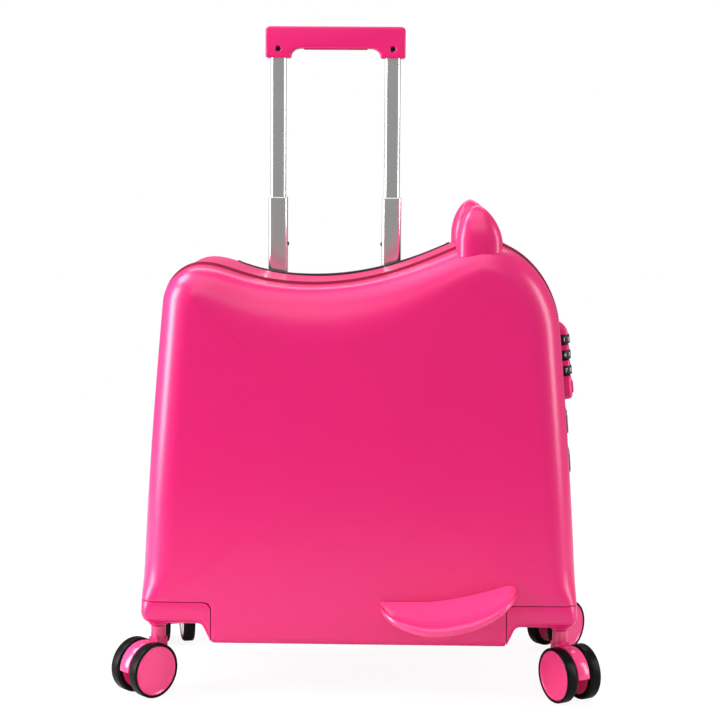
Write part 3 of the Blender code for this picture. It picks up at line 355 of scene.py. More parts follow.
def wovenTape(name, finish):
    made, tree, shader, place = startMaterial(name, finish["roughness"], ior=finish["ior"])
    shader.inputs["Sheen Weight"].default_value = finish["sheen"]
    at = {"Vector": place.outputs["Object"]}
    # the wave texture repeats every two pi over its scale
    ribs = {"Scale": perSize(finish["weft"]) / 6.283, "Distortion": 0.4, "bands_direction": "DIAGONAL"}
    weft = addNode(tree, "ShaderNodeTexWave", ribs, at)
    fuzz = addNode(tree, "ShaderNodeTexNoise", {"Scale": perSize(finish["fuzz"]), "Detail": 3}, at)
    blendColours(tree, shader, weft.outputs[0], *finish["shades"])
    heights = [(weft.outputs[0], finish["weftBump"], 0.2), (fuzz.outputs[0], finish["fuzzBump"], 0.1)]
    addBump(tree, shader, heights)
    return made


pinkAbs = mouldedPlastic("vacuum-formed pink ABS", pinkAbsFinish)
pinkNylon = mouldedPlastic("injection-moulded pink nylon", pinkNylonFinish)
blackPlastic = mouldedPlastic("moulded black polypropylene", blackPlasticFinish)
treadRubber = mouldedPlastic("cast polyurethane tyre", treadRubberFinish)
numberPaint = mouldedPlastic("pad-printed white ink", numberPaintFinish)
aluminium = brushedMetal("brushed anodised aluminium", aluminiumFinish)
steel = brushedMetal("nickel-plated steel", steelFinish)
# the screw heads' near-black finish is partly painted shade of the holes they sit in
holeShadeScrew = brushedMetal("black-oxide steel darkened as hole shade", holeShadeScrewFinish)
# the zip tape's dark crimson is partly its own colour and partly painted shade of the seam
shadedZipTape = wovenTape("woven polyester zip tape darkened as painted seam shade", shadedZipTapeFinish)
print("materials done")


# The case: its side-on outline and the skin that both shells, the housings, the band and the zip share

caseShape = {
    "wall": 3.0,
    "edgeRadius": 30, "lowEdgeRadius": 9, "edgeBlend": 42, "edgeSteps": 14,
    "faceCrown": 1.6, "saddleRun": 1.0, "saddleReach": 160,
    "footCorner": 12, "archHeight": 74.9, "archFoot": 148.5, "archSlant": 9.5, "footRound": 4,
    "leftHumpHeight": 433.3, "leftHumpIn": 57, "leftShoulderDrop": 34.5, "leftLean": 20.7,
    "saddleAt": -50, "saddleDrop": 19.6,
    "rightHumpRise": 25.2, "rightHumpIn": 99, "rightShoulderDrop": 85.5, "rightLean": 20.1,
    "leftSlope": 0.091, "rightSlope": 0.097,
    "sideHold": 0.2, "shoulderHold": 0.18, "leftShoulderHold": 0.3, "humpTurn": 0.53, "humpHold": 0.52,
    "crestHold": 0.13, "leftCrestHold": 0.25, "saddleHold": 0.52, "leftSaddleHold": 0.6,
    "frontRim": 1.6, "rearRim": 0.9, "innerRim": 0.6,
    "housingHeight": 24, "housingMargin": 1, "housingRound": 8, "seamGap": 0.9, "seamRound": 0.9,
    "trayGap": 0.5, "trayRound": 6.5, "trayOver": 60, "beyond": 40,
    "faceShares": (0.97, 0.9, 0.78, 0.6, 0.4, 0.2, 0.04),
}
bandLow, bandHigh = nodeBox("centre_band")
halfLength = bandHigh.x
caseBottom = bandLow.z
halfDepth = -nodeBox("front_shell")[0].y
frontOpen = nodeBox("front_shell")[1].y
rearOpen = nodeBox("rear_shell")[0].y


def bend(start, startHandle, endHandle, end, steps):  # one smooth stretch of the outline, without its end
    start, end = Vector(start), Vector(end)
    handles = (start + Vector(startHandle), end + Vector(endHandle))
    return [tuple(point) for point in interpolate_bezier(start, *handles, end, steps + 1)][:-1]


def roundedCorner(before, corner, after, radius, steps=4):
    corner = Vector(corner)
    toBefore = (Vector(before) - corner).normalized()
    toAfter = (Vector(after) - corner).normalized()
    start, end = corner + toBefore * radius, corner + toAfter * radius
    handles = (start - toBefore * radius * 0.55, end - toAfter * radius * 0.55)
    return [tuple(point) for point in interpolate_bezier(start, *handles, end, steps + 1)]


def caseOutline():  # x and z, anticlockwise, from the bottom left corner
    c = caseShape
    footZ = c["archHeight"] + c["footCorner"]
    rightHumpZ = c["leftHumpHeight"] + c["rightHumpRise"]
    rightFoot, leftFoot = (halfLength, footZ), (-halfLength, footZ)
    rightShoulder = (halfLength - c["rightLean"], rightHumpZ - c["rightShoulderDrop"])
    leftShoulder = (-halfLength + c["leftLean"], c["leftHumpHeight"] - c["leftShoulderDrop"])
    rightHump = (halfLength - c["rightHumpIn"], rightHumpZ)
    leftHump = (-halfLength + c["leftHumpIn"], c["leftHumpHeight"])
    saddle = (c["saddleAt"], c["leftHumpHeight"] - c["saddleDrop"])
    rightRise, leftRise = rightShoulder[1] - footZ, leftShoulder[1] - footZ
    rightEnd, leftEnd = rightShoulder[0] - rightHump[0], leftHump[0] - leftShoulder[0]
    rightDip, leftDip = rightHump[0] - saddle[0], saddle[0] - leftHump[0]
    foot, slantTop = (c["archFoot"], caseBottom), (c["archFoot"] + c["archSlant"], c["archHeight"])
    inRoof = (halfLength - c["footCorner"], c["archHeight"])
    half = roundedCorner((0, caseBottom), foot, slantTop, c["footRound"])
    half += roundedCorner(foot, slantTop, inRoof, c["footRound"])
    half += arcPoints((inRoof[0], footZ), c["footCorner"], -90, 0, 10)[:-1]
    points = list(half)
    hold = c["shoulderHold"] * rightRise
    points += bend(
        rightFoot, (0, c["sideHold"] * rightRise), (c["rightSlope"] * hold, -hold), rightShoulder, 14
    )
    hold = c["humpTurn"] * c["rightShoulderDrop"]
    points += bend(
        rightShoulder, (-c["rightSlope"] * hold, hold), (c["humpHold"] * rightEnd, 0), rightHump, 26
    )
    points += bend(rightHump, (-c["crestHold"] * rightDip, 0), (c["saddleHold"] * rightDip, 0), saddle, 26)
    points += bend(
        saddle, (-c["leftSaddleHold"] * leftDip, 0), (c["leftCrestHold"] * leftDip, 0), leftHump, 20
    )
    hold = c["humpTurn"] * c["leftShoulderDrop"]
    points += bend(leftHump, (-c["humpHold"] * leftEnd, 0), (c["leftSlope"] * hold, hold), leftShoulder, 18)
    hold = c["leftShoulderHold"] * leftRise
    points += bend(leftShoulder, (-c["leftSlope"] * hold, -hold), (0, c["sideHold"] * leftRise), leftFoot, 14)
    points += [leftFoot] + [(-x, z) for x, z in reversed(half)]
    return points


outline = caseOutline()
outlineWays = [way - Vector(point) for way, point in zip(drawnIn(outline, 1), outline)]


def edgeRadiusAt(z):  # small round at the arches, full above them
    share = (z - caseShape["archHeight"] - caseShape["footCorner"]) / caseShape["edgeBlend"]
    share = min(max(share, 0), 1)
    share = share * share * (3 - 2 * share)
    return caseShape["lowEdgeRadius"] + (caseShape["edgeRadius"] - caseShape["lowEdgeRadius"]) * share


def saddleRunAt(x, z):  # how far the rounded edge runs on to the face, longer under the saddle
    c = caseShape
    over = (x - c["saddleAt"]) / c["saddleReach"]
    if z < c["leftHumpHeight"] / 2 or abs(over) >= 1:
        return 1
    return 1 + c["saddleRun"] * math.cos(over * math.pi / 2) ** 2


def caseRing(inset, y):
    return [(x + way.x * inset, y, z + way.y * inset) for (x, z), way in zip(outline, outlineWays)]


def edgeRing(inset, side, turn):  # the outline at one angle of the rounded edge: 0 side, 90 face
    ring = []
    face = halfDepth - caseShape["faceCrown"]
    turn = math.radians(turn)
    for (x, z), way in zip(outline, outlineWays):
        radius = edgeRadiusAt(z) - inset
        run = saddleRunAt(x, z) if side < 0 else 1
        depth = inset + radius * (1 - math.cos(turn)) * run
        y = side * (face - inset - radius * (1 - math.sin(turn)))
        ring.append((x + way.x * depth, y, z + way.y * depth))
    return ring


def faceRings(edge, side, lift):  # rings that shrink from the rounded edge to the middle of the face
    middle = Vector((0, edge[0][1], (caseBottom + caseShape["leftHumpHeight"]) / 2))
    rings = []
    for share in caseShape["faceShares"]:
        rise = Vector((0, side * lift * (1 - share * share), 0))
        rings.append([middle + (Vector(point) - middle) * share + rise for point in edge])
    return rings


def caseSkin(name, side, openY, rim):  # half the case as a hollow moulding with a rounded rim
    wall, lip, steps = caseShape["wall"], caseShape["innerRim"], caseShape["edgeSteps"]
    outer = [edgeRing(0, side, 90 * i / steps) for i in range(steps + 1)]
    inner = [edgeRing(wall, side, 90 * i / steps) for i in range(steps + 1)]
    rings = list(reversed(faceRings(outer[-1], side, caseShape["faceCrown"])))
    rings += list(reversed(outer))
    for inset, back in arcPoints((rim, rim), rim, 180, 270, 6):
        rings.append(caseRing(inset, openY + side * back))
    for inset, back in arcPoints((wall - lip, lip), lip, 270, 360, 4):
        rings.append(caseRing(inset, openY + side * back))
    rings += inner + faceRings(inner[-1], side, caseShape["faceCrown"])
    return skinPiece(name, rings, pinkAbs)


def cornerSpace(side, gap):  # the space of one wheel housing, with one rounded corner
    c = caseShape
    innerX = c["archFoot"] - c["housingMargin"] + gap
    top = c["archHeight"] + c["housingHeight"] - gap
    outerX, bottom = halfLength + c["beyond"], caseBottom - c["beyond"]
    points = [(innerX, bottom), (outerX, bottom), (outerX, top)]
    points += arcPoints((innerX + c["housingRound"], top - c["housingRound"]), c["housingRound"], 90, 180, 10)
    section = [(side * x, z) for x, z in points]
    return skinPiece("corner", [atDepth(section, y) for y in (-2 * halfDepth, 2 * halfDepth)], pinkAbs)


collarShape = {
    "drop": 6.0, "foot": 9.9, "flare": 15.5, "flareHeight": 5.4, "bore": 6.6, "inside": 22, "edge": 0.8,
    "inRoof": (1.2, 2.2),
}


def addCollar(housing, name, swivel):  # the round collar that carries the caster's stem, flared into the roof
    c = collarShape
    foot, roof = caseShape["archHeight"] - c["drop"], caseShape["archHeight"]
    profile = [(c["bore"], foot + c["inside"]), (c["bore"], foot), (c["foot"] - c["edge"], foot)]
    profile += [(c["foot"], foot + c["edge"])]
    reach = c["flare"] - c["foot"]
    for i in range(1, 7):
        turn = math.radians(90 * i / 6)
        out = c["foot"] + reach * (1 - math.cos(turn))
        profile.append((out, foot + c["edge"] + c["flareHeight"] * math.sin(turn)))
    profile += [(c["flare"], roof + c["inRoof"][0]), (c["foot"], roof + c["inRoof"][1])]
    profile += [(c["foot"], foot + c["inside"])]
    turn = Matrix.Translation((swivel.x, swivel.y, 0))
    carve(housing, turnedPiece(f"{name}_collar", profile, 48, pinkAbs, turn, closed=True), "UNION")


def onSeam(middle):  # true on the outer lips of the cuts round the housings
    reach = caseShape["archFoot"] - caseShape["housingMargin"]
    top = caseShape["archHeight"] + caseShape["housingHeight"]
    near = abs(abs(middle.x) - reach) < 10 or abs(middle.z - top) < 2
    return near and abs(middle.x) > reach - 2 and middle.z < top + 2


def traySpace():  # the space that the trolley tray takes in the fixed shell
    c = caseShape
    middle, halfX, halfY, bottom, top = boxFacts("trolley_tray")
    gap = c["trayGap"]
    section = roundedRectangle(halfX + gap, halfY + gap, c["trayRound"], 6, (middle.x, middle.y))
    return prism("tray space", section, bottom - gap, top + c["trayOver"], pinkAbs)


def buildCase():
    halves = (
        (-1, frontOpen, "front", "front_door", caseShape["frontRim"]),
        (1, rearOpen, "rear", "root", caseShape["rearRim"]),
    )
    for side, openY, place, body, rim in halves:
        skin = caseSkin(f"{place}_skin", side, openY, rim)
        for end, sideX in (("left", -1), ("right", 1)):
            name = f"housing_{place}_{end}"
            housing = copyOf(skin, f"{name}_cover")
            carve(housing, cornerSpace(sideX, caseShape["seamGap"]), "INTERSECT")
            roundEdges(housing, caseShape["seamRound"], 3, onSeam)
            addCollar(housing, name, jointPoint(f"caster_{place}_{end}"))
            mount(housing, body, [name])
        for sideX in (-1, 1):
            carve(skin, cornerSpace(sideX, 0))
        if side > 0:
            carve(skin, traySpace())
        roundEdges(skin, caseShape["seamRound"], 3, onSeam)
        skin.name = f"{place}_shell_skin"
        mount(skin, body, [f"{place}_shell"])
        print(place, "shell and housings done")


bandShape = {
    "lip": 5.3, "edge": 0.8, "channels": (-17, 17), "channelHalf": 6, "channelDepth": 0.2, "slope": 1.2,
    "seat": 3.3, "rearOverlap": 1.2, "pocketGap": 0.6, "pocketDepth": 12,
}


def buildBand():  # the middle of the case, with two faint channels that run right round it
    b = bandShape
    front, rear, back = bandLow.y, rearOpen - b["rearOverlap"], bandHigh.y
    profile = [(b["lip"], front + 0.3), (b["lip"] - 0.3, front)]
    profile += [(b["edge"], front), (b["edge"] * 0.3, front + b["edge"] * 0.3), (0, front + b["edge"])]
    half, slope, midSlope = b["channelHalf"], b["slope"], b["channelDepth"] * 0.6
    for middle in b["channels"]:
        profile += [(0, middle - half - slope), (midSlope, middle - half - slope / 2)]
        profile += [(b["channelDepth"], middle - half), (b["channelDepth"], middle + half)]
        profile += [(midSlope, middle + half + slope / 2), (0, middle + half + slope)]
    profile += [(0, rear - b["edge"]), (b["edge"] * 0.3, rear - b["edge"] * 0.3), (b["edge"], rear)]
    profile += [(b["seat"], rear), (b["seat"], back), (b["lip"], back)]
    rings = [caseRing(inset, y) for inset, y in profile]
    band = skinPiece("centre_band_moulding", rings, pinkAbs, closed=True)
    place = lockFrame()
    dialZs = [(place.inverted() @ jointPoint(f"lock_dial_{i}")).z for i in (1, 2, 3)]
    low, high = min(dialZs), max(dialZs)
    reach = (high - low + lockShape["dialWidth"]) / 2 + lockShape["slotGap"]
    half = lockShape["dialRadius"] + b["pocketGap"]
    pocket = roundedRectangle(half, reach, 1, 3, (0, (low + high) / 2))
    carve(band, peg("dial pocket", pocket, -b["pocketDepth"], 1, place))
    mount(band, "root", ["centre_band"])
    print("band done")


zipShape = {
    "edge": 0.9, "shoulder": -1.4, "crest": -2.5, "depth": 6.5, "slope": 0.35, "crestHalf": 0.4,
    "pitch": 2.6, "toothLength": 1.5, "toothHalf": 0.9, "toothSink": 0.2, "toothRise": 0.35,
    "toothTaper": 0.75,
}


def evenSteps(ring, pitch):  # places and directions at even steps along a closed ring
    found = []
    spare = 0
    for here, there in spansOf([Vector(point) for point in ring]):
        length = (there - here).length
        along = (there - here).normalized()
        while spare < length:
            found.append((here + along * spare, along))
            spare += pitch
        spare -= length
    return found


def buildZip():  # woven tape sunk in the front seam, with its chain of teeth
    z = zipShape
    tapeBox = nodeBox("zip_tape")
    front, rear = tapeBox[0].y, tapeBox[1].y
    middle = (front + rear) / 2
    profile = [(z["depth"], front), (z["edge"], front), (z["shoulder"], front + z["slope"])]
    profile += [(z["crest"], middle - z["crestHalf"]), (z["crest"], middle + z["crestHalf"])]
    profile += [(z["shoulder"], rear - z["slope"]), (z["edge"], rear), (z["depth"], rear)]
    # the tape and its teeth take a crimson darkened to paint the shade down in the seam
    tape = skinPiece("zip_tape_woven", [caseRing(inset, y) for inset, y in profile], shadedZipTape, closed=True)
    mount(tape, "root", ["zip_tape"])
    shape = bmesh.new()
    for place, along in evenSteps(caseRing(z["crest"], middle), z["pitch"]):
        out = Vector((along.z, 0, -along.x))
        across = Vector((0, 1, 0))
        low, high = [], []
        for signAlong, signAcross in ((-1, -1), (1, -1), (1, 1), (-1, 1)):
            step = along * signAlong * z["toothLength"] / 2
            wide = across * signAcross * z["toothHalf"]
            low.append(place + step + wide - out * z["toothSink"])
            high.append(place + (step + wide) * z["toothTaper"] + out * z["toothRise"])
        skinOver(shape, [low, high])
    teeth = makePiece("zip_teeth", shape, shadedZipTape, sharp=60)
    mount(teeth, "root", [])
    print("zip done")


buildCase()
buildZip()


# Where things sit on the outside of the case

def farSide(value, axis):  # the top of the outline at one x (axis 0), or its right end at one z (axis 1)
    found = []
    for here, there in spansOf(outline):
        span = there[axis] - here[axis]
        share = (value - here[axis]) / span if span else -1
        if 0 <= share <= 1:
            found.append(here[1 - axis] + (there[1 - axis] - here[1 - axis]) * share)
    return max(found)


def topAt(x):
    return farSide(x, 0)


def surfaceTop(x, y):  # the top of the case at x and y, on its rounded edge too
    over = abs(y) - (halfDepth - caseShape["faceCrown"] - caseShape["edgeRadius"])
    if over <= 0:
        return topAt(x)
    radius = caseShape["edgeRadius"]
    slope = (topAt(x + 1) - topAt(x - 1)) / 2
    depth = radius - math.sqrt(max(radius * radius - over * over, 0))
    return topAt(x) - depth * math.sqrt(1 + slope * slope)


def endFrame(z, y):  # a frame on the eared end: its x points out of the surface, its z up along it
    lean = math.atan2(farSide(z + 10, 1) - farSide(z - 10, 1), 20)
    return placed((farSide(z, 1), y, z), math.degrees(lean), "Y")


earShape = {
    "length": 46, "depth": 42, "height": 38.5, "taper": 2.2, "point": 0.6, "squareness": 3.0,
    "rings": 22, "sides": 64, "sweep": 87, "sink": 0.6,
    "tipX": -3.0, "left": (2.0, 1.6), "right": (1.7, 1.55),
}


def earEdge(end, rise, powers):  # one side of the ear's outline, from its foot to its tip
    tip = earShape["tipX"]
    return tip + (end - tip) * (1 - rise ** powers[0]) ** (1 / powers[1])


def buildEars():  # thick leaf-shaped ears with a broad front, seated on the rounded top of each shell
    e = earShape
    for place, body in (("front", "front_door"), ("rear", "root")):
        low, high = nodeBox(f"ear_{place}")
        x, y = (low.x + high.x) / 2, (low.y + high.y) / 2
        base = topAt(x)
        rings = []
        for i in range(e["rings"] + 1):
            rise = math.sin(math.radians(e["sweep"]) * i / e["rings"])
            size = (1 - rise ** e["taper"]) ** e["point"]
            leftX = earEdge(-e["length"] / 2, rise, e["left"])
            rightX = earEdge(e["length"] / 2, rise, e["right"])
            middle, half = (leftX + rightX) / 2, (rightX - leftX) / 2
            ring = []
            for k in range(e["sides"]):
                turn = 2 * math.pi * k / e["sides"]
                across = math.copysign(abs(math.cos(turn)) ** (2 / e["squareness"]), math.cos(turn))
                along = math.copysign(abs(math.sin(turn)) ** (2 / e["squareness"]), math.sin(turn))
                px, py = x + middle + across * half, y + size * along * e["depth"] / 2
                seat = surfaceTop(px, py) - e["sink"]
                pz = base + rise * e["height"]
                if i == 0:
                    pz = seat
                ring.append((px, py, max(pz, seat)))
            rings.append(ring)
        ear = skinPiece(f"ear_{place}_moulding", rings, pinkAbs, sharp=50)
        mount(ear, body, [f"ear_{place}"])
    print("ears done")


restShape = {
    "length": 136, "reach": 45, "lip": 9.5, "rootHeight": 26, "dip": 15.5, "rise": 21, "flatShare": 0.31,
    "fullness": 2.05, "endFullness": 2.6, "sweep": 1.6, "tip": 0.35, "at": 89, "aboveBottom": 46.8,
    "stations": 60, "rimHeight": 3.2, "rimWidth": 7, "endStart": 0.9, "endDrop": 7, "sink": 0.6,
    "treadSteps": ((0.25, 0.36, 0), (0.5, 0.72, 0.4)), "underSteps": ((0.6, 0.3), (0.3, 0.68)),
}


def restSection(station):  # one crosswise section of the foot rest, out from the face and up
    r = restShape
    power = r["fullness"] if station < 0.5 else r["endFullness"]
    full = (1 - abs(2 * station - 1) ** power) ** (1 / power)
    reach = r["reach"] * full
    sweep = max(station - r["flatShare"], 0) / (1 - r["flatShare"])
    root = caseBottom + r["aboveBottom"] + r["rise"] * sweep ** r["sweep"]
    over = max(station - r["endStart"], 0) / (1 - r["endStart"])
    root -= r["endDrop"] * (1 - math.sqrt(max(1 - over * over, 0)))
    tread = root - r["dip"] * full
    thick = r["tip"] + (1 - r["tip"]) * full
    under = root - r["rootHeight"] * thick
    half = r["lip"] * thick / 2
    rim = min(r["rimWidth"], reach / 3)
    lift = r["rimHeight"] * full
    points = [(-r["sink"], root)]
    for out, fall, dish in r["treadSteps"]:
        points.append((reach * out, root - (root - tread) * fall - lift * dish))
    points += [(reach - half - rim, tread - lift * 0.35), (reach - half - rim * 0.4, tread + lift * 0.15)]
    points += arcPoints((reach - half, tread - half), half, 80, -90, 9)
    belowNose = tread - 2 * half
    for out, fall in r["underSteps"]:
        points.append((reach * out, belowNose - (belowNose - under) * fall))
    return points + [(-r["sink"], under)]


def buildFootRests():  # crescent shelves with a thick rounded rim and a dished tread, one end swept up
    r = restShape
    for place, side, body in (("front", -1, "front_door"), ("rear", 1, "root")):
        rings = []
        for i in range(r["stations"] + 1):
            turn = math.pi * (0.03 + 0.94 * i / r["stations"])
            station = 0.5 - 0.5 * math.cos(turn)
            x = r["at"] + r["length"] * (station - 0.5)
            rings.append([(x, side * (halfDepth + out), z) for out, z in restSection(station)])
        rest = skinPiece(f"foot_rest_{place}_moulding", rings, pinkNylon, sharp=55)
        mount(rest, body, [f"foot_rest_{place}"])
    print("foot rests done")


buildEars()
buildFootRests()


# Combination lock on the eared end of the band

lockShape = {
    "length": 79, "halfWidth": 13, "proud": 11.5, "topRun": 13, "footRun": 4, "sink": 1.5, "round": 4,
    "centreZ": 336.1, "fromSeam": 18.5, "softEdge": 0.4, "footShare": 0.72,
    "leastProud": 0.12, "leastWide": 0.62,
    "dialRadius": 9, "dialWidth": 10, "dialEdge": ((0, 1.2), (0.4, 0.35), (1.2, 0)), "dialSides": 120,
    "notches": 10, "notchDepth": 0.35, "notchSharpness": 12,
    "slotGap": 0.5, "slotFloor": 0.6, "slotPast": 4, "slotRound": 0.8, "floorTop": 1.5,
    "buttonHalf": 6.5, "buttonWide": 7, "buttonGap": 0.35, "buttonProud": 1.8, "buttonRound": 2,
    "wellRound": 2.2,
    "buttonSteps": ((3.0, 0), (0.9, 0), (0.25, 0.25), (0, 0.9), (0.35, 3.2), (0.45, 5.2)),
    "numberSize": 5.4, "numberProud": 0.08,
}


def lockFrame():  # the lock sits beside the front seam
    return endFrame(lockShape["centreZ"], (frontOpen + bandLow.y) / 2 + lockShape["fromSeam"])


def lockStation(z):  # how far the lock stands out and how wide it is at a place along it
    s = lockShape
    half = s["length"] / 2
    share = 1
    if z > half - s["topRun"]:
        over = (z - half + s["topRun"]) / s["topRun"]
        share = math.sqrt(max(1 - over * over, 0))
    if z < -half + s["footRun"]:
        over = (-half + s["footRun"] - z) / s["footRun"]
        share = s["footShare"] + (1 - s["footShare"]) * math.sqrt(max(1 - over * over, 0))
    proud = s["proud"] * (s["leastProud"] + (1 - s["leastProud"]) * share)
    return proud, s["halfWidth"] * (s["leastWide"] + (1 - s["leastWide"]) * share)


def buildLock():
    s = lockShape
    place = lockFrame()
    half = s["length"] / 2
    stations = [half - s["topRun"] * (1 - math.cos(math.radians(90 * i / 10))) for i in range(11)]
    stations += [-half + s["footRun"] * (1 - math.sin(math.radians(90 * i / 6))) for i in range(7)]
    rings = []
    for z in stations:
        proud, wide = lockStation(z)
        middle = (proud - s["sink"]) / 2
        section = roundedRectangle((proud + s["sink"]) / 2, wide, s["round"], 6, (middle, 0))
        rings.append(atHeight(section, z))
    body = skinPiece("lock_housing", rings, pinkAbs, turn=place)
    dialZs = []
    inverse = place.inverted()
    above = s["proud"] + 5
    for i in (1, 2, 3):
        centre = inverse @ jointPoint(f"lock_dial_{i}")
        dialZs.append(centre.z)
        depth = centre.x
        slotHalf = s["dialWidth"] / 2 + s["slotGap"]
        past, under = s["halfWidth"] + s["slotPast"], s["dialRadius"] + s["slotGap"]
        slot = roundedRectangle(past, slotHalf, s["slotRound"], 3, (0, centre.z))
        carve(body, peg("slot", slot, s["slotFloor"], above, place))
        slot = roundedRectangle(under, slotHalf, s["slotRound"], 3, (0, centre.z))
        carve(body, peg("slot floor", slot, -s["sink"] - 1, s["floorTop"], place))
    low, high = nodeBox("lock_button")
    buttonZ = (inverse @ ((low + high) / 2)).z
    gap = s["buttonGap"]
    halves = (s["buttonWide"] + gap, s["buttonHalf"] + gap)
    well = roundedRectangle(*halves, s["wellRound"], 4, (0, buttonZ))
    carve(body, peg("well", well, s["slotFloor"], above, place))
    roundEdges(body, s["softEdge"], 2, lambda middle: (inverse @ middle).x > s["proud"] - 1.5)
    mount(body, "root", ["lock_body"])
    for i, z in enumerate(dialZs):
        # one depth for all three, in line with the lock
        buildDial(i + 1, place @ Matrix.Translation((depth, 0, z)))
    rings = []
    for back, inset in s["buttonSteps"]:
        halves = (s["buttonWide"] - inset, s["buttonHalf"] - inset)
        section = roundedRectangle(*halves, s["buttonRound"], 4, (0, buttonZ))
        rings.append([(s["proud"] + s["buttonProud"] - back, across, z) for across, z in section])
    button = skinPiece("lock_push_button", rings, pinkAbs, turn=place)
    mount(button, "lock_button", ["lock_button"])
    print("lock done")


def buildDial(number, place):  # a black number wheel with ten shallow notches and plain white numbers
    s = lockShape
    rings = []
    half = s["dialWidth"] / 2
    levels = [(-half + back, drop) for back, drop in s["dialEdge"]]
    levels += [(half - back, drop) for back, drop in s["dialEdge"][::-1]]
    for z, drop in levels:
        ring = []
        for k in range(s["dialSides"]):
            turn = 2 * math.pi * k / s["dialSides"]
            notch = max(-math.cos(s["notches"] * turn), 0) ** s["notchSharpness"]
            radius = s["dialRadius"] - drop - notch * s["notchDepth"]
            ring.append((radius * math.cos(turn), radius * math.sin(turn), z))
        rings.append(ring)
    wheel = skinPiece(f"lock_dial_{number}_wheel", rings, blackPlastic, sharp=50, turn=place)
    mount(wheel, f"lock_dial_{number}", [f"lock_dial_{number}"])
    shape = bmesh.new()
    upright = Matrix(((0, 0, 1, 0), (1, 0, 0, 0), (0, 1, 0, 0), (0, 0, 0, 1)))
    toRim = Matrix.Translation((s["dialRadius"], 0, 0))
    for digit in range(10):
        text = bpy.data.curves.new("digit", "FONT")
        text.body = str((digit + 3 * number) % 10)
        text.size = s["numberSize"]
        text.extrude = s["numberProud"]
        text.align_x, text.align_y = "CENTER", "CENTER"
        holder = bpy.data.objects.new("digit", text)
        bpy.context.scene.collection.objects.link(holder)
        glyph = bpy.data.meshes.new_from_object(holder.evaluated_get(bpy.context.evaluated_depsgraph_get()))
        bpy.data.objects.remove(holder)
        glyph.transform(Matrix.Rotation(2 * math.pi * digit / 10, 4, "Z") @ toRim @ upright)
        shape.from_mesh(glyph)
    numbers = makePiece(f"lock_dial_{number}_numbers", shape, numberPaint, sharp=30, turn=place)
    mount(numbers, f"lock_dial_{number}", [])


buildBand()
buildLock()


# Zip sliders

sliderShape = {
    "halfLength": 6, "halfWidth": 4, "round": 2.6, "taper": 0.28,
    "steps": ((0.8, 0.6), (1.2, 0), (2.4, 0), (2.9, 0.7)), "high": 2.9,
    "bridgeHigh": 3.7, "bridgeHalf": 3.6, "bridgeSection": (0.8, 1.1, 0.5), "bridgeSink": 0.6,
    "tabLength": 21, "tabHalf": 2.8, "tabRound": 2.4, "waist": 0.3, "tabFrom": 0.5,
    "tabSteps": ((-0.1, 0.35), (0.2, 0), (0.8, 0), (1.1, 0.35)),
}


def buildSlider(place):  # a cast body with a bridge that carries the pull tab
    s = sliderShape
    low, high = nodeBox(f"zip_slider_{place}")
    lean = endFrame((low.z + high.z) / 2, (low.y + high.y) / 2)
    topZ = (lean.inverted() @ Vector((high.x, 0, high.z))).z
    centreZ = topZ - s["halfLength"]
    base = lean @ Matrix.Translation((0, 0, centreZ))
    shape = bmesh.new()
    rings = []
    for out, inset in s["steps"]:
        section = roundedRectangle(s["halfLength"] - inset, s["halfWidth"] - inset, s["round"], 6)
        ring = []
        for z, across in section:
            narrow = 1 - s["taper"] * max(-z, 0) / s["halfLength"]
            ring.append((out, across * narrow, z))
        rings.append(ring)
    skinOver(shape, rings)
    bridge = []
    section = roundedRectangle(*s["bridgeSection"], 2)
    foot = s["high"] - s["bridgeSink"]
    for i in range(9):
        turn = math.radians(180 * i / 8)
        out = foot + (s["bridgeHigh"] - foot) * math.sin(turn)
        centre = Vector((out, 0, s["bridgeHalf"] * math.cos(turn)))
        away = Vector((math.sin(turn), 0, math.cos(turn) * 0.6)).normalized()
        bridge.append([centre + away * u * 0.5 + Vector((0, v, 0)) for u, v in section])
    skinOver(shape, bridge)
    tab = []
    for lift, inset in s["tabSteps"]:
        ring = []
        halves = (s["tabLength"] / 2 - inset, s["tabHalf"] - inset)
        for z, across in roundedRectangle(*halves, s["tabRound"], 6):
            waist = 1 - s["waist"] * math.sin(math.pi * (z / s["tabLength"] + 0.5)) ** 2
            ring.append((s["high"] + lift, across * waist, z - s["tabLength"] / 2 - s["tabFrom"]))
        tab.append(ring)
    skinOver(shape, tab)
    slider = makePiece(f"zip_slider_{place}_cast", shape, steel, sharp=40, turn=base)
    mount(slider, f"zip_puller_{place}", [f"zip_slider_{place}"])


for place in ("upper", "lower"):
    buildSlider(place)
print("zip sliders done")


# Trolley: tray, tubes, grip

trayShape = {
    "flange": 2.6, "proud": 1.4, "round": 6, "wall": 2, "floor": 3, "socketRim": 2.6, "socketHeight": 3,
    "dipProud": 0.9, "dipHalf": 85, "dipFrom": 30,  # the rim is a little higher over the dip of the seat
    "clearance": 0.75, "finest": 8,
}


def pinFace(side):  # the face of the tube that the lock pin stands on, which way it points, and its middle
    low, high = nodeBox(f"lock_pin_{side}")
    towards = 1 if side == "left" else -1
    face = (high.x if side == "left" else low.x) - towards * tubeShape["pinSeat"]
    return face, towards, (low.y + high.y) / 2, (low.z + high.z) / 2


def pinTrack(side, low, high):  # the track that the lock pin of one leg runs in
    t = tubeShape
    face, towards, y, _ = pinFace(side)
    middle = (face + towards * t["trackAt"], y)
    section = roundedRectangle(t["trackHalf"], t["pinRadius"] + t["trackGap"], t["trackRound"], 3, middle)
    return prism("pin track", section, low, high, aluminium)


def trayRim(x):  # how much further the rim stands out over the dip of the seat
    over = (x - caseShape["saddleAt"] - trayShape["dipFrom"]) / trayShape["dipHalf"]
    return trayShape["dipProud"] * max(math.cos(over * math.pi / 2), 0)


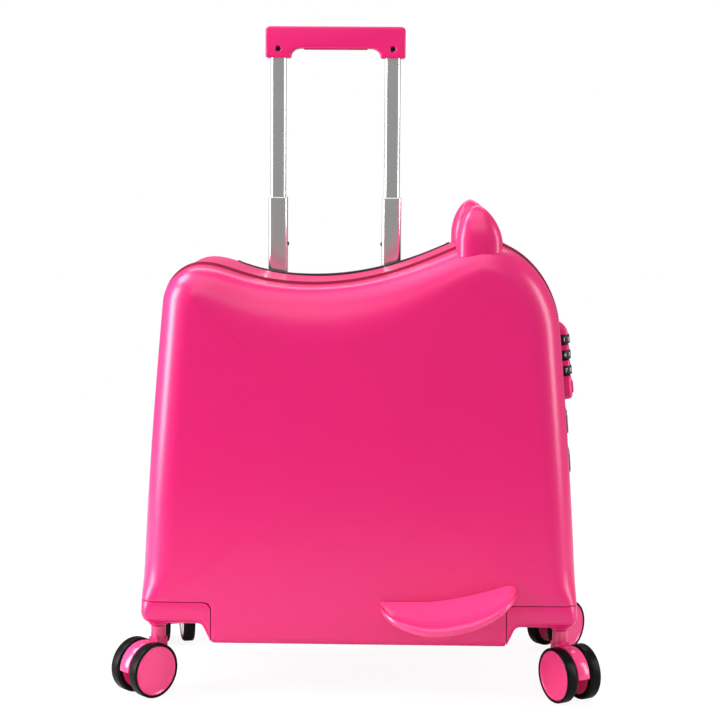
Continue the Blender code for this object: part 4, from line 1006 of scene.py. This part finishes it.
def buildTray():  # the black well that the grip parks in; its rim stands a little proud of the case
    t = trayShape
    centre, halfX, halfY, bottom, _ = boxFacts("trolley_tray")
    floorZ = bottom + t["floor"]
    # how far each ring grows, and either its height or how far it stands over the case
    levels = [(0, bottom + 0.6, None), (0, None, -3), (0, None, -0.4), (t["flange"], None, -0.4)]
    levels += [(t["flange"], None, t["proud"] - 0.9), (t["flange"] - 0.3, None, t["proud"] - 0.25)]
    levels += [(t["flange"] - 1.0, None, t["proud"]), (-t["wall"] + 0.9, None, t["proud"])]
    levels += [(-t["wall"] + 0.2, None, t["proud"] - 0.3), (-t["wall"], None, t["proud"] - 1.2)]
    levels += [(-t["wall"], floorZ + 3, None), (-t["wall"] - 0.9, floorZ + 0.9, None)]
    levels += [(-t["wall"] - 3, floorZ, None)]
    rings = []
    for grow, level, above in levels:
        section = roundedRectangle(halfX + grow, halfY + grow, t["round"] + grow, 6, centre.xy)
        fine = []
        for here, there in spansOf([Vector(point) for point in section]):
            count = max(1, int((there - here).length / t["finest"]))
            fine += [here.lerp(there, i / count) for i in range(count)]
        ring = []
        for x, y in fine:
            z = level
            if level is None:
                z = surfaceTop(x, y) + above + (trayRim(x) if above > 0 else 0)
            ring.append((x, y, z))
        rings.append(ring)
    tray = skinPiece("trolley_tray_moulding", rings, blackPlastic)
    for side in ("left", "right"):
        middle, tubeX, tubeY, _, _ = boxFacts(f"middle_tube_{side}")
        gap = t["clearance"]
        around, grown = (middle.x, middle.y), gap + t["socketRim"]
        outer = roundedRectangle(tubeX + grown, tubeY + grown, 6, 6, around)
        top = floorZ + t["socketHeight"]
        rim = []
        for inset, z in ((0, floorZ - 0.5), (0, top - 0.8), (0.8, top)):
            rim.append(atHeight(drawnIn(outer, inset), z))
        carve(tray, skinPiece("socket", rim, blackPlastic), "UNION")
        hole = roundedRectangle(tubeX + gap, tubeY + gap, 4.4, 6, around)
        carve(tray, prism("hole", hole, bottom - 5, floorZ + 10, blackPlastic))
        carve(tray, pinTrack(side, bottom - 5, floorZ + 10))
    mount(tray, "root", ["trolley_tray"])
    print("tray done")


tubeShape = {
    "wall": 1.2, "round": 4, "lip": 0.5, "pinRadius": 2.2, "pinProud": 1.6, "pinSide": 0.35,
    "pinSink": 1.0, "pinSeat": 0.4, "pinTurns": (25, 45, 65, 80), "pinTravel": 122,
    "trackHalf": 1.7, "trackGap": 0.4, "trackRound": 0.6, "trackAt": 0.9,
}


def buildTube(name, body):  # a rounded aluminium tube, its cut ends softened
    t = tubeShape
    middle, halfX, halfY, low, high = boxFacts(name)

    def ring(inset, z):
        radius = max(t["round"] - inset, 0.5)
        section = roundedRectangle(halfX - inset, halfY - inset, radius, 8, (middle.x, middle.y))
        return atHeight(section, z)

    lip, wall = t["lip"], t["wall"]
    # rings a millimetre from the ends keep the shading of the long faces flat
    rings = [ring(0, low + lip), ring(0, low + lip + 1), ring(0, high - lip - 1), ring(0, high - lip)]
    rings += [ring(lip * 0.3, high - lip * 0.3), ring(lip, high)]
    rings += [ring(wall, high), ring(wall, low), ring(lip, low)]
    piece = skinPiece(f"{name}_extrusion", rings, aluminium, closed=True, sharp=40)
    mount(piece, body, [name])
    return piece


def buildTubes():
    t = tubeShape
    for side in ("left", "right"):
        buildTube(f"inner_tube_{side}", "stage_2")
        buildTube(f"middle_tube_{side}", "stage_1")
        baseTube = buildTube(f"base_tube_{side}", "root")
        face, towards, pinY, pinZ = pinFace(side)
        lowest = nodeBox(f"lock_pin_{side}")[0].z - t["pinTravel"]
        carve(baseTube, pinTrack(side, lowest, nodeBox(f"base_tube_{side}")[1].z + 2))
        radius, proud, straight = t["pinRadius"], t["pinProud"], t["pinSide"]
        profile = [(0, -t["pinSink"]), (radius, -t["pinSink"]), (radius, proud * straight)]
        for turn in t["pinTurns"]:
            turn = math.radians(turn)
            profile.append((radius * math.cos(turn), proud * (straight + (1 - straight) * math.sin(turn))))
        profile.append((0, proud))
        turn = placed((face, pinY, pinZ), 90 * towards, "Y")
        pin = turnedPiece(f"lock_pin_{side}_dome", profile, 24, blackPlastic, turn)
        mount(pin, "stage_1", [f"lock_pin_{side}"])
    print("tubes done")


gripShape = {
    "round": 5, "archRound": 11, "edge": 2.0, "legRound": 2.3, "legWidth": 27.2, "barHeight": 23,
    "screwHeight": 9.5, "holeRadius": 2.9, "holeChamfer": 1.1, "holeDepth": 6, "parting": 0.25,
    "fingerHalf": 34.5, "fingerRound": 1.6, "fingerEdge": ((0, 1.2), (0.35, 0.35), (1.2, 0)),
    "slotSide": 0.6, "slotFace": 0.4, "slotUnder": 5, "slotHeight": 12, "slotRound": 1,
    "socketGap": 0.4, "socketRound": 4, "socketUnder": 5, "socketOver": 1,
    "headGap": 0.15, "headDepth": 2, "headEdge": 0.4, "driveHalf": 1.55, "driveDepth": 1.1,
}


def gripOutline(low, high):  # x and z, anticlockwise: a bar with two legs and a rounded arch
    g = gripShape
    innerLeft, innerRight = low.x + g["legWidth"], high.x - g["legWidth"]
    under = high.z - g["barHeight"]
    arch, corner, leg = g["archRound"], g["round"], g["legRound"]
    points = arcPoints((high.x - corner, high.z - corner), corner, 0, 90, 8)
    points += arcPoints((low.x + corner, high.z - corner), corner, 90, 180, 8)
    points += arcPoints((low.x + leg, low.z + leg), leg, 180, 270, 3)
    points += arcPoints((innerLeft - leg, low.z + leg), leg, 270, 360, 3)
    archHeight = under - low.z - leg - 0.2
    for centre, start, end in ((innerLeft + arch, 180, 90), (innerRight - arch, 90, 0)):
        for x, z in arcPoints((0, 0), 1, start, end, 10):
            points.append((centre + x * arch, under - archHeight + z * archHeight))
    points += arcPoints((innerRight + leg, low.z + leg), leg, 180, 270, 3)
    points += arcPoints((high.x - leg, low.z + leg), leg, 270, 360, 3)
    return points


def buildGrip():
    g = gripShape
    bar, _, barHalfY, barBottom, _ = boxFacts("release_bar")
    for place, side in (("front", -1), ("rear", 1)):
        low, high = nodeBox(f"grip_{place}")
        face = low.y if side < 0 else high.y
        parting = high.y if side < 0 else low.y
        shapeOutline = gripOutline(low, high)
        rings = [atDepth(drawnIn(shapeOutline, g["parting"]), parting)]
        rings.append(atDepth(shapeOutline, parting + side * g["parting"]))
        for inset, back in arcPoints((g["edge"], g["edge"]), g["edge"], 180, 270, 5):
            rings.append(atDepth(drawnIn(shapeOutline, inset), face - side * back))
        half = skinPiece(f"grip_{place}_half", rings, pinkAbs, sharp=40)
        halfX, halfY = g["fingerHalf"] + g["slotSide"], barHalfY + g["slotFace"]
        slot = roundedRectangle(halfX, halfY, g["slotRound"], 3, (bar.x, bar.y))
        carve(half, prism("slot", slot, barBottom - g["slotUnder"], barBottom + g["slotHeight"], pinkAbs))
        for leg in ("left", "right"):
            middle, tubeX, tubeY, _, top = boxFacts(f"inner_tube_{leg}")
            gap = g["socketGap"]
            socket = roundedRectangle(tubeX + gap, tubeY + gap, g["socketRound"], 4, (middle.x, middle.y))
            ends = (low.z - g["socketUnder"], top + g["socketOver"])
            carve(half, prism("socket", socket, *ends, pinkAbs))
            if side < 0:
                radius, chamfer = g["holeRadius"], g["holeChamfer"]
                profile = [(0, 4), (radius + chamfer, 4), (radius + chamfer, 0), (radius, -chamfer)]
                profile += [(radius, -g["holeDepth"]), (0, -g["holeDepth"])]
                turn = placed((middle.x, face, low.z + g["screwHeight"]), 90, "X")
                carve(half, turnedPiece("hole", profile, 32, pinkAbs, turn))
        mount(half, "stage_2", [f"grip_{place}"])
    print("grip done")


def buildRelease():  # the finger bar under the grip, with a thumb-softened edge
    g = gripShape
    middle, _, halfY, bottom, top = boxFacts("release_bar")
    rings = []
    for inset, rise in ((0, top - bottom),) + tuple(g["fingerEdge"]):
        halves = (g["fingerHalf"] - inset, halfY - inset)
        section = roundedRectangle(*halves, g["fingerRound"], 4, (middle.x, middle.y))
        rings.append(atHeight(section, bottom + rise))
    bar = skinPiece("release_bar_moulding", rings, pinkAbs)
    mount(bar, "release", ["release_bar"])
    for side in ("left", "right"):
        middle, radius, halfY, _, _ = boxFacts(f"grip_screw_{side}")
        radius, depth, edge, drive = radius - g["headGap"], g["headDepth"], g["headEdge"], g["driveHalf"]
        profile = [(0, -depth), (radius, -depth), (radius, -edge), (radius - edge, 0)]
        profile += [(drive, 0), (drive, -g["driveDepth"]), (0, -g["driveDepth"])]
        turn = placed((middle.x, middle.y - halfY, middle.z), 90, "X")
        # the head's near-black finish paints the shade inside the screw hole
        screw = turnedPiece(f"grip_screw_{side}_head", profile, 30, holeShadeScrew, turn)
        mount(screw, "stage_2", [f"grip_screw_{side}"])
    print("release bar and screws done")


buildTray()
buildTubes()
buildGrip()
buildRelease()


# Casters

casterShape = {
    "wheelRadius": 27.5, "tyreWidth": 12.5, "forkHalf": 7, "gap": 0.3, "trail": 18,
    "hubRadius": 24.7, "hubRecess": 0.9, "hubRim": 1.1, "dish": 0.5, "barrel": 22, "bore": 5,
    "treadRound": 3.5, "lipRound": 1.6, "seatGap": 0.25, "seatDepth": 3,
    "fenderMargin": 1.0, "fenderEdge": 1.2, "bossRadius": 8, "postRadius": 7.5, "stemRadius": 6,
    "stemLength": 18,
}


def tyreProfile():  # radius and height, from the hub seat round the tread
    c = casterShape
    width, outer, seat = c["tyreWidth"], c["wheelRadius"], c["hubRadius"] + c["seatGap"]
    deep = seat - c["seatDepth"]
    points = [(deep, 0), (outer - c["treadRound"] - 1.2, 0)]
    points += arcPoints((outer - c["treadRound"], c["treadRound"]), c["treadRound"], -90, 0, 6)
    points += arcPoints((outer - c["lipRound"], width - c["lipRound"]), c["lipRound"], 0, 90, 6)
    points += [(seat + 0.3, width), (seat, width - 0.3), (seat, width - 3), (deep, width - 3)]
    return points


def hubProfile():  # radius and height of the disc: flat dished face, raised rim, barrel behind
    c = casterShape
    face, rim = c["tyreWidth"] - c["hubRecess"], c["hubRadius"]
    dish, inner, barrel, bore = face - c["dish"], rim - c["hubRim"], c["barrel"], c["bore"]
    points = [(0, dish), (inner - 2.2, dish), (inner - 1, face - 0.3), (inner, face + 0.25)]
    points += [(rim - 0.55, face + 0.35), (rim - 0.12, face + 0.12), (rim, face - 0.4), (rim, face - 2)]
    points += [(barrel, face - 2), (barrel, 0.3), (bore, 0.3), (bore, face - 4), (0, face - 4)]
    return points


def forkOutline():  # the fork's web side-on: fender over the wheels, neck under the post, boss round the axle
    c = casterShape
    fender = c["wheelRadius"] - c["fenderMargin"]
    neck, wheel = c["postRadius"] - 0.4, c["wheelRadius"]
    lead = math.degrees(math.acos((neck - c["trail"]) / fender))
    points = arcPoints((c["trail"], wheel), fender, 2, lead, 20)
    points += [(neck, 2 * wheel + 0.6), (-neck, 2 * wheel + 0.6), (-neck, wheel + c["bossRadius"])]
    points += arcPoints((c["trail"], wheel), c["bossRadius"], 205, 335, 12)
    return points


def buildCaster(place):
    c = casterShape
    body = f"caster_{place}"
    swivel = jointPoint(body)
    wheel = jointPoint(f"wheel_{place}_a")
    yaw = math.atan2(wheel.y - swivel.y, wheel.x - swivel.x)
    turn = placed((swivel.x, swivel.y, 0), math.degrees(yaw), "Z")
    half, edge = c["forkHalf"], c["fenderEdge"]
    sideOn = forkOutline()
    rings = []
    for y, inset in ((-half, edge), (-half + edge * 0.3, edge * 0.3), (-half + edge, 0)):
        rings.append(atDepth(drawnIn(sideOn, inset), y))
    rings += [[(x, -y, z) for x, y, z in ring] for ring in reversed(rings)]
    fork = skinPiece(f"{body}_fork_moulding", rings, pinkNylon, turn=turn)
    foot, top = 2 * c["wheelRadius"], caseShape["archHeight"] - collarShape["drop"] - 0.4
    radius, stem, end = c["postRadius"], c["stemRadius"], top + c["stemLength"]
    profile = [(0, foot - 6), (radius - 0.5, foot - 6), (radius, foot - 3), (radius, top - 1)]
    profile += [(radius - 0.6, top - 0.3), (radius - 1.3, top), (stem, top), (stem, end), (0, end)]
    carve(fork, turnedPiece("post", profile, 40, pinkNylon, turn), "UNION")
    mount(fork, body, [f"{body}_fork"])
    paintNode(f"{body}_axle", steel)
    for letter, side in (("a", -1), ("b", 1)):
        # the turned shapes stand on z, so each is laid over towards its own side
        lay = turn @ placed((c["trail"], side * (half + c["gap"]), c["wheelRadius"]), -90 * side, "X")
        tyre = turnedPiece(f"{body}_tyre_{letter}_cast", tyreProfile(), 96, treadRubber, lay, closed=True)
        mount(tyre, f"wheel_{place}_{letter}", [f"{body}_tyre_{letter}"])
        hub = turnedPiece(f"{body}_hub_{letter}_disc", hubProfile(), 96, pinkNylon, lay)
        mount(hub, f"wheel_{place}_{letter}", [f"{body}_hub_{letter}"])


for place in ("front_left", "front_right", "rear_left", "rear_right"):
    buildCaster(place)
print("casters done")


# Construction nodes that stay, in their own finishes

paintNode("trolley_bracket", blackPlastic)
for side in ("left", "right"):
    paintNode(f"release_rod_{side}", steel)


# Floor, lights and camera

stageShape = {
    "floorRadius": 1100, "floorMiddle": (0, 400), "floorDrop": 0.2, "floorColour": "DCDCDC",
    "shadowShare": 0.15, "glow": 1.08,
}


def pageWhite(tree, surface, share):  # white where the camera looks, lit as a surface otherwise
    path = tree.nodes.new("ShaderNodeLightPath")
    rays = {0: path.outputs["Is Camera Ray"], 1: path.outputs["Is Transmission Ray"]}
    seen = addNode(tree, "ShaderNodeMath", {"operation": "MAXIMUM"}, rays)
    amount = addNode(tree, "ShaderNodeMath", {"operation": "MULTIPLY", 1: share}, {0: seen.outputs[0]})
    glow = addNode(tree, "ShaderNodeEmission", {"Color": (1, 1, 1, 1), "Strength": stageShape["glow"]})
    return addNode(tree, "ShaderNodeMixShader", {}, {0: amount.outputs[0], 1: surface, 2: glow.outputs[0]})


def buildFloor():
    shape = bmesh.new()
    edge = arcPoints(stageShape["floorMiddle"], stageShape["floorRadius"], 0, 355, 71)
    shape.faces.new([shape.verts.new((x, y, -stageShape["floorDrop"])) for x, y in edge])
    made, tree, shader, _ = startMaterial("matt white sweep", 0.9)
    shader.inputs["Base Color"].default_value = toLinear(stageShape["floorColour"])
    output = tree.nodes["Material Output"]
    mix = pageWhite(tree, shader.outputs[0], 1 - stageShape["shadowShare"])
    tree.links.new(mix.outputs[0], output.inputs["Surface"])
    floor = makePiece("floor", shape, made)


lightShape = {
    "world": (  # axis of the direction (0 x, 1 y, 2 z), where it starts and ends, and the shares there
        (1, -0.98, -0.7, 0.36, 0.52),  # dimmer towards the camera, so that metal facets read grey
        (0, -0.45, -0.9, 1, 2.0),  # brighter at the left
        (1, 0.35, 0.75, 1, 0.5),  # dimmer behind, which draws the edges of the tubes
        (2, -0.3, -0.13, 0.35, 1),  # dimmer below
    ),
    "lamps": (
        # name, place in mm, aim in mm, width, height, watts
        ("overhead soft box", (-200, -700, 2300), (0, 0, 300), 1800, 1400, 13),
        ("left strip", (-1500, -400, 650), (-150, 0, 300), 520, 1200, 30),
        ("right strip", (1600, -400, 650), (150, 0, 300), 420, 1200, 13),
        ("upper left soft box", (-1250, 150, 1900), (-100, 0, 350), 900, 750, 26),
        ("upper back strip", (0, 900, 1500), (0, 0, 420), 1400, 500, 8),
        ("front fill", (0, -2300, 2000), (0, 0, 250), 1600, 1000, 9),
    ),
}


def buildWorld():  # white all round but dimmer towards the camera, so that metal facets read grey
    world = bpy.data.worlds.new("white studio")
    bpy.context.scene.world = world
    world.use_nodes = True
    tree = world.node_tree
    light = tree.nodes["Background"]
    place = tree.nodes.new("ShaderNodeTexCoord")
    split = addNode(tree, "ShaderNodeSeparateXYZ", {}, {0: place.outputs["Generated"]})
    product = None
    for axis, start, end, atStart, atEnd in lightShape["world"]:
        limits = {"From Min": start, "From Max": end, "To Min": atStart, "To Max": atEnd}
        share = addNode(tree, "ShaderNodeMapRange", limits, {"Value": split.outputs[axis]})
        if product is not None:
            feeds = {0: product, 1: share.outputs[0]}
            share = addNode(tree, "ShaderNodeMath", {"operation": "MULTIPLY"}, feeds)
        product = share.outputs[0]
    path = tree.nodes.new("ShaderNodeLightPath")
    seen = {0: path.outputs["Is Camera Ray"], 2: product}
    strength = addNode(tree, "ShaderNodeMix", {"data_type": "FLOAT", 3: 1.0}, seen)
    light.inputs["Color"].default_value = (1, 1, 1, 1)
    tree.links.new(strength.outputs[0], light.inputs["Strength"])


def buildLamps():
    for name, place, aim, width, height, watts in lightShape["lamps"]:
        lamp = bpy.data.lights.new(name, "AREA")
        lamp.shape = "RECTANGLE"
        lamp.size, lamp.size_y = width * mm, height * mm
        lamp.energy = watts
        holder = bpy.data.objects.new(name, lamp)
        holder.location = Vector(place) * mm
        way = Vector(aim) - Vector(place)
        holder.rotation_mode = "QUATERNION"
        holder.rotation_quaternion = way.to_track_quat("-Z", "Y")
        bpy.context.scene.collection.objects.link(holder)


cameraShape = {
    "lens": 85, "sensor": 36, "place": (27.6, -1763, 567.1), "pitch": 5.206, "turn": 1.142, "roll": 0.382,
    "shiftX": 0.007, "shiftY": -0.1,
}


def buildCamera():
    c = cameraShape
    data = bpy.data.cameras.new("studio camera")
    data.lens, data.sensor_width = c["lens"], c["sensor"]
    data.shift_x, data.shift_y = c["shiftX"], c["shiftY"]
    camera = bpy.data.objects.new("studio camera", data)
    turn = Matrix.Translation(Vector(c["place"]) * mm)
    for angle, axis in ((c["turn"], "Z"), (90 - c["pitch"], "X"), (c["roll"], "Z")):
        turn = turn @ Matrix.Rotation(math.radians(angle), 4, axis)
    camera.matrix_world = turn
    bpy.context.scene.collection.objects.link(camera)
    bpy.context.scene.camera = camera


buildFloor()
buildWorld()
buildLamps()
buildCamera()
bpy.context.scene.view_settings.view_transform = "Standard"
print("stage, lights and camera done")
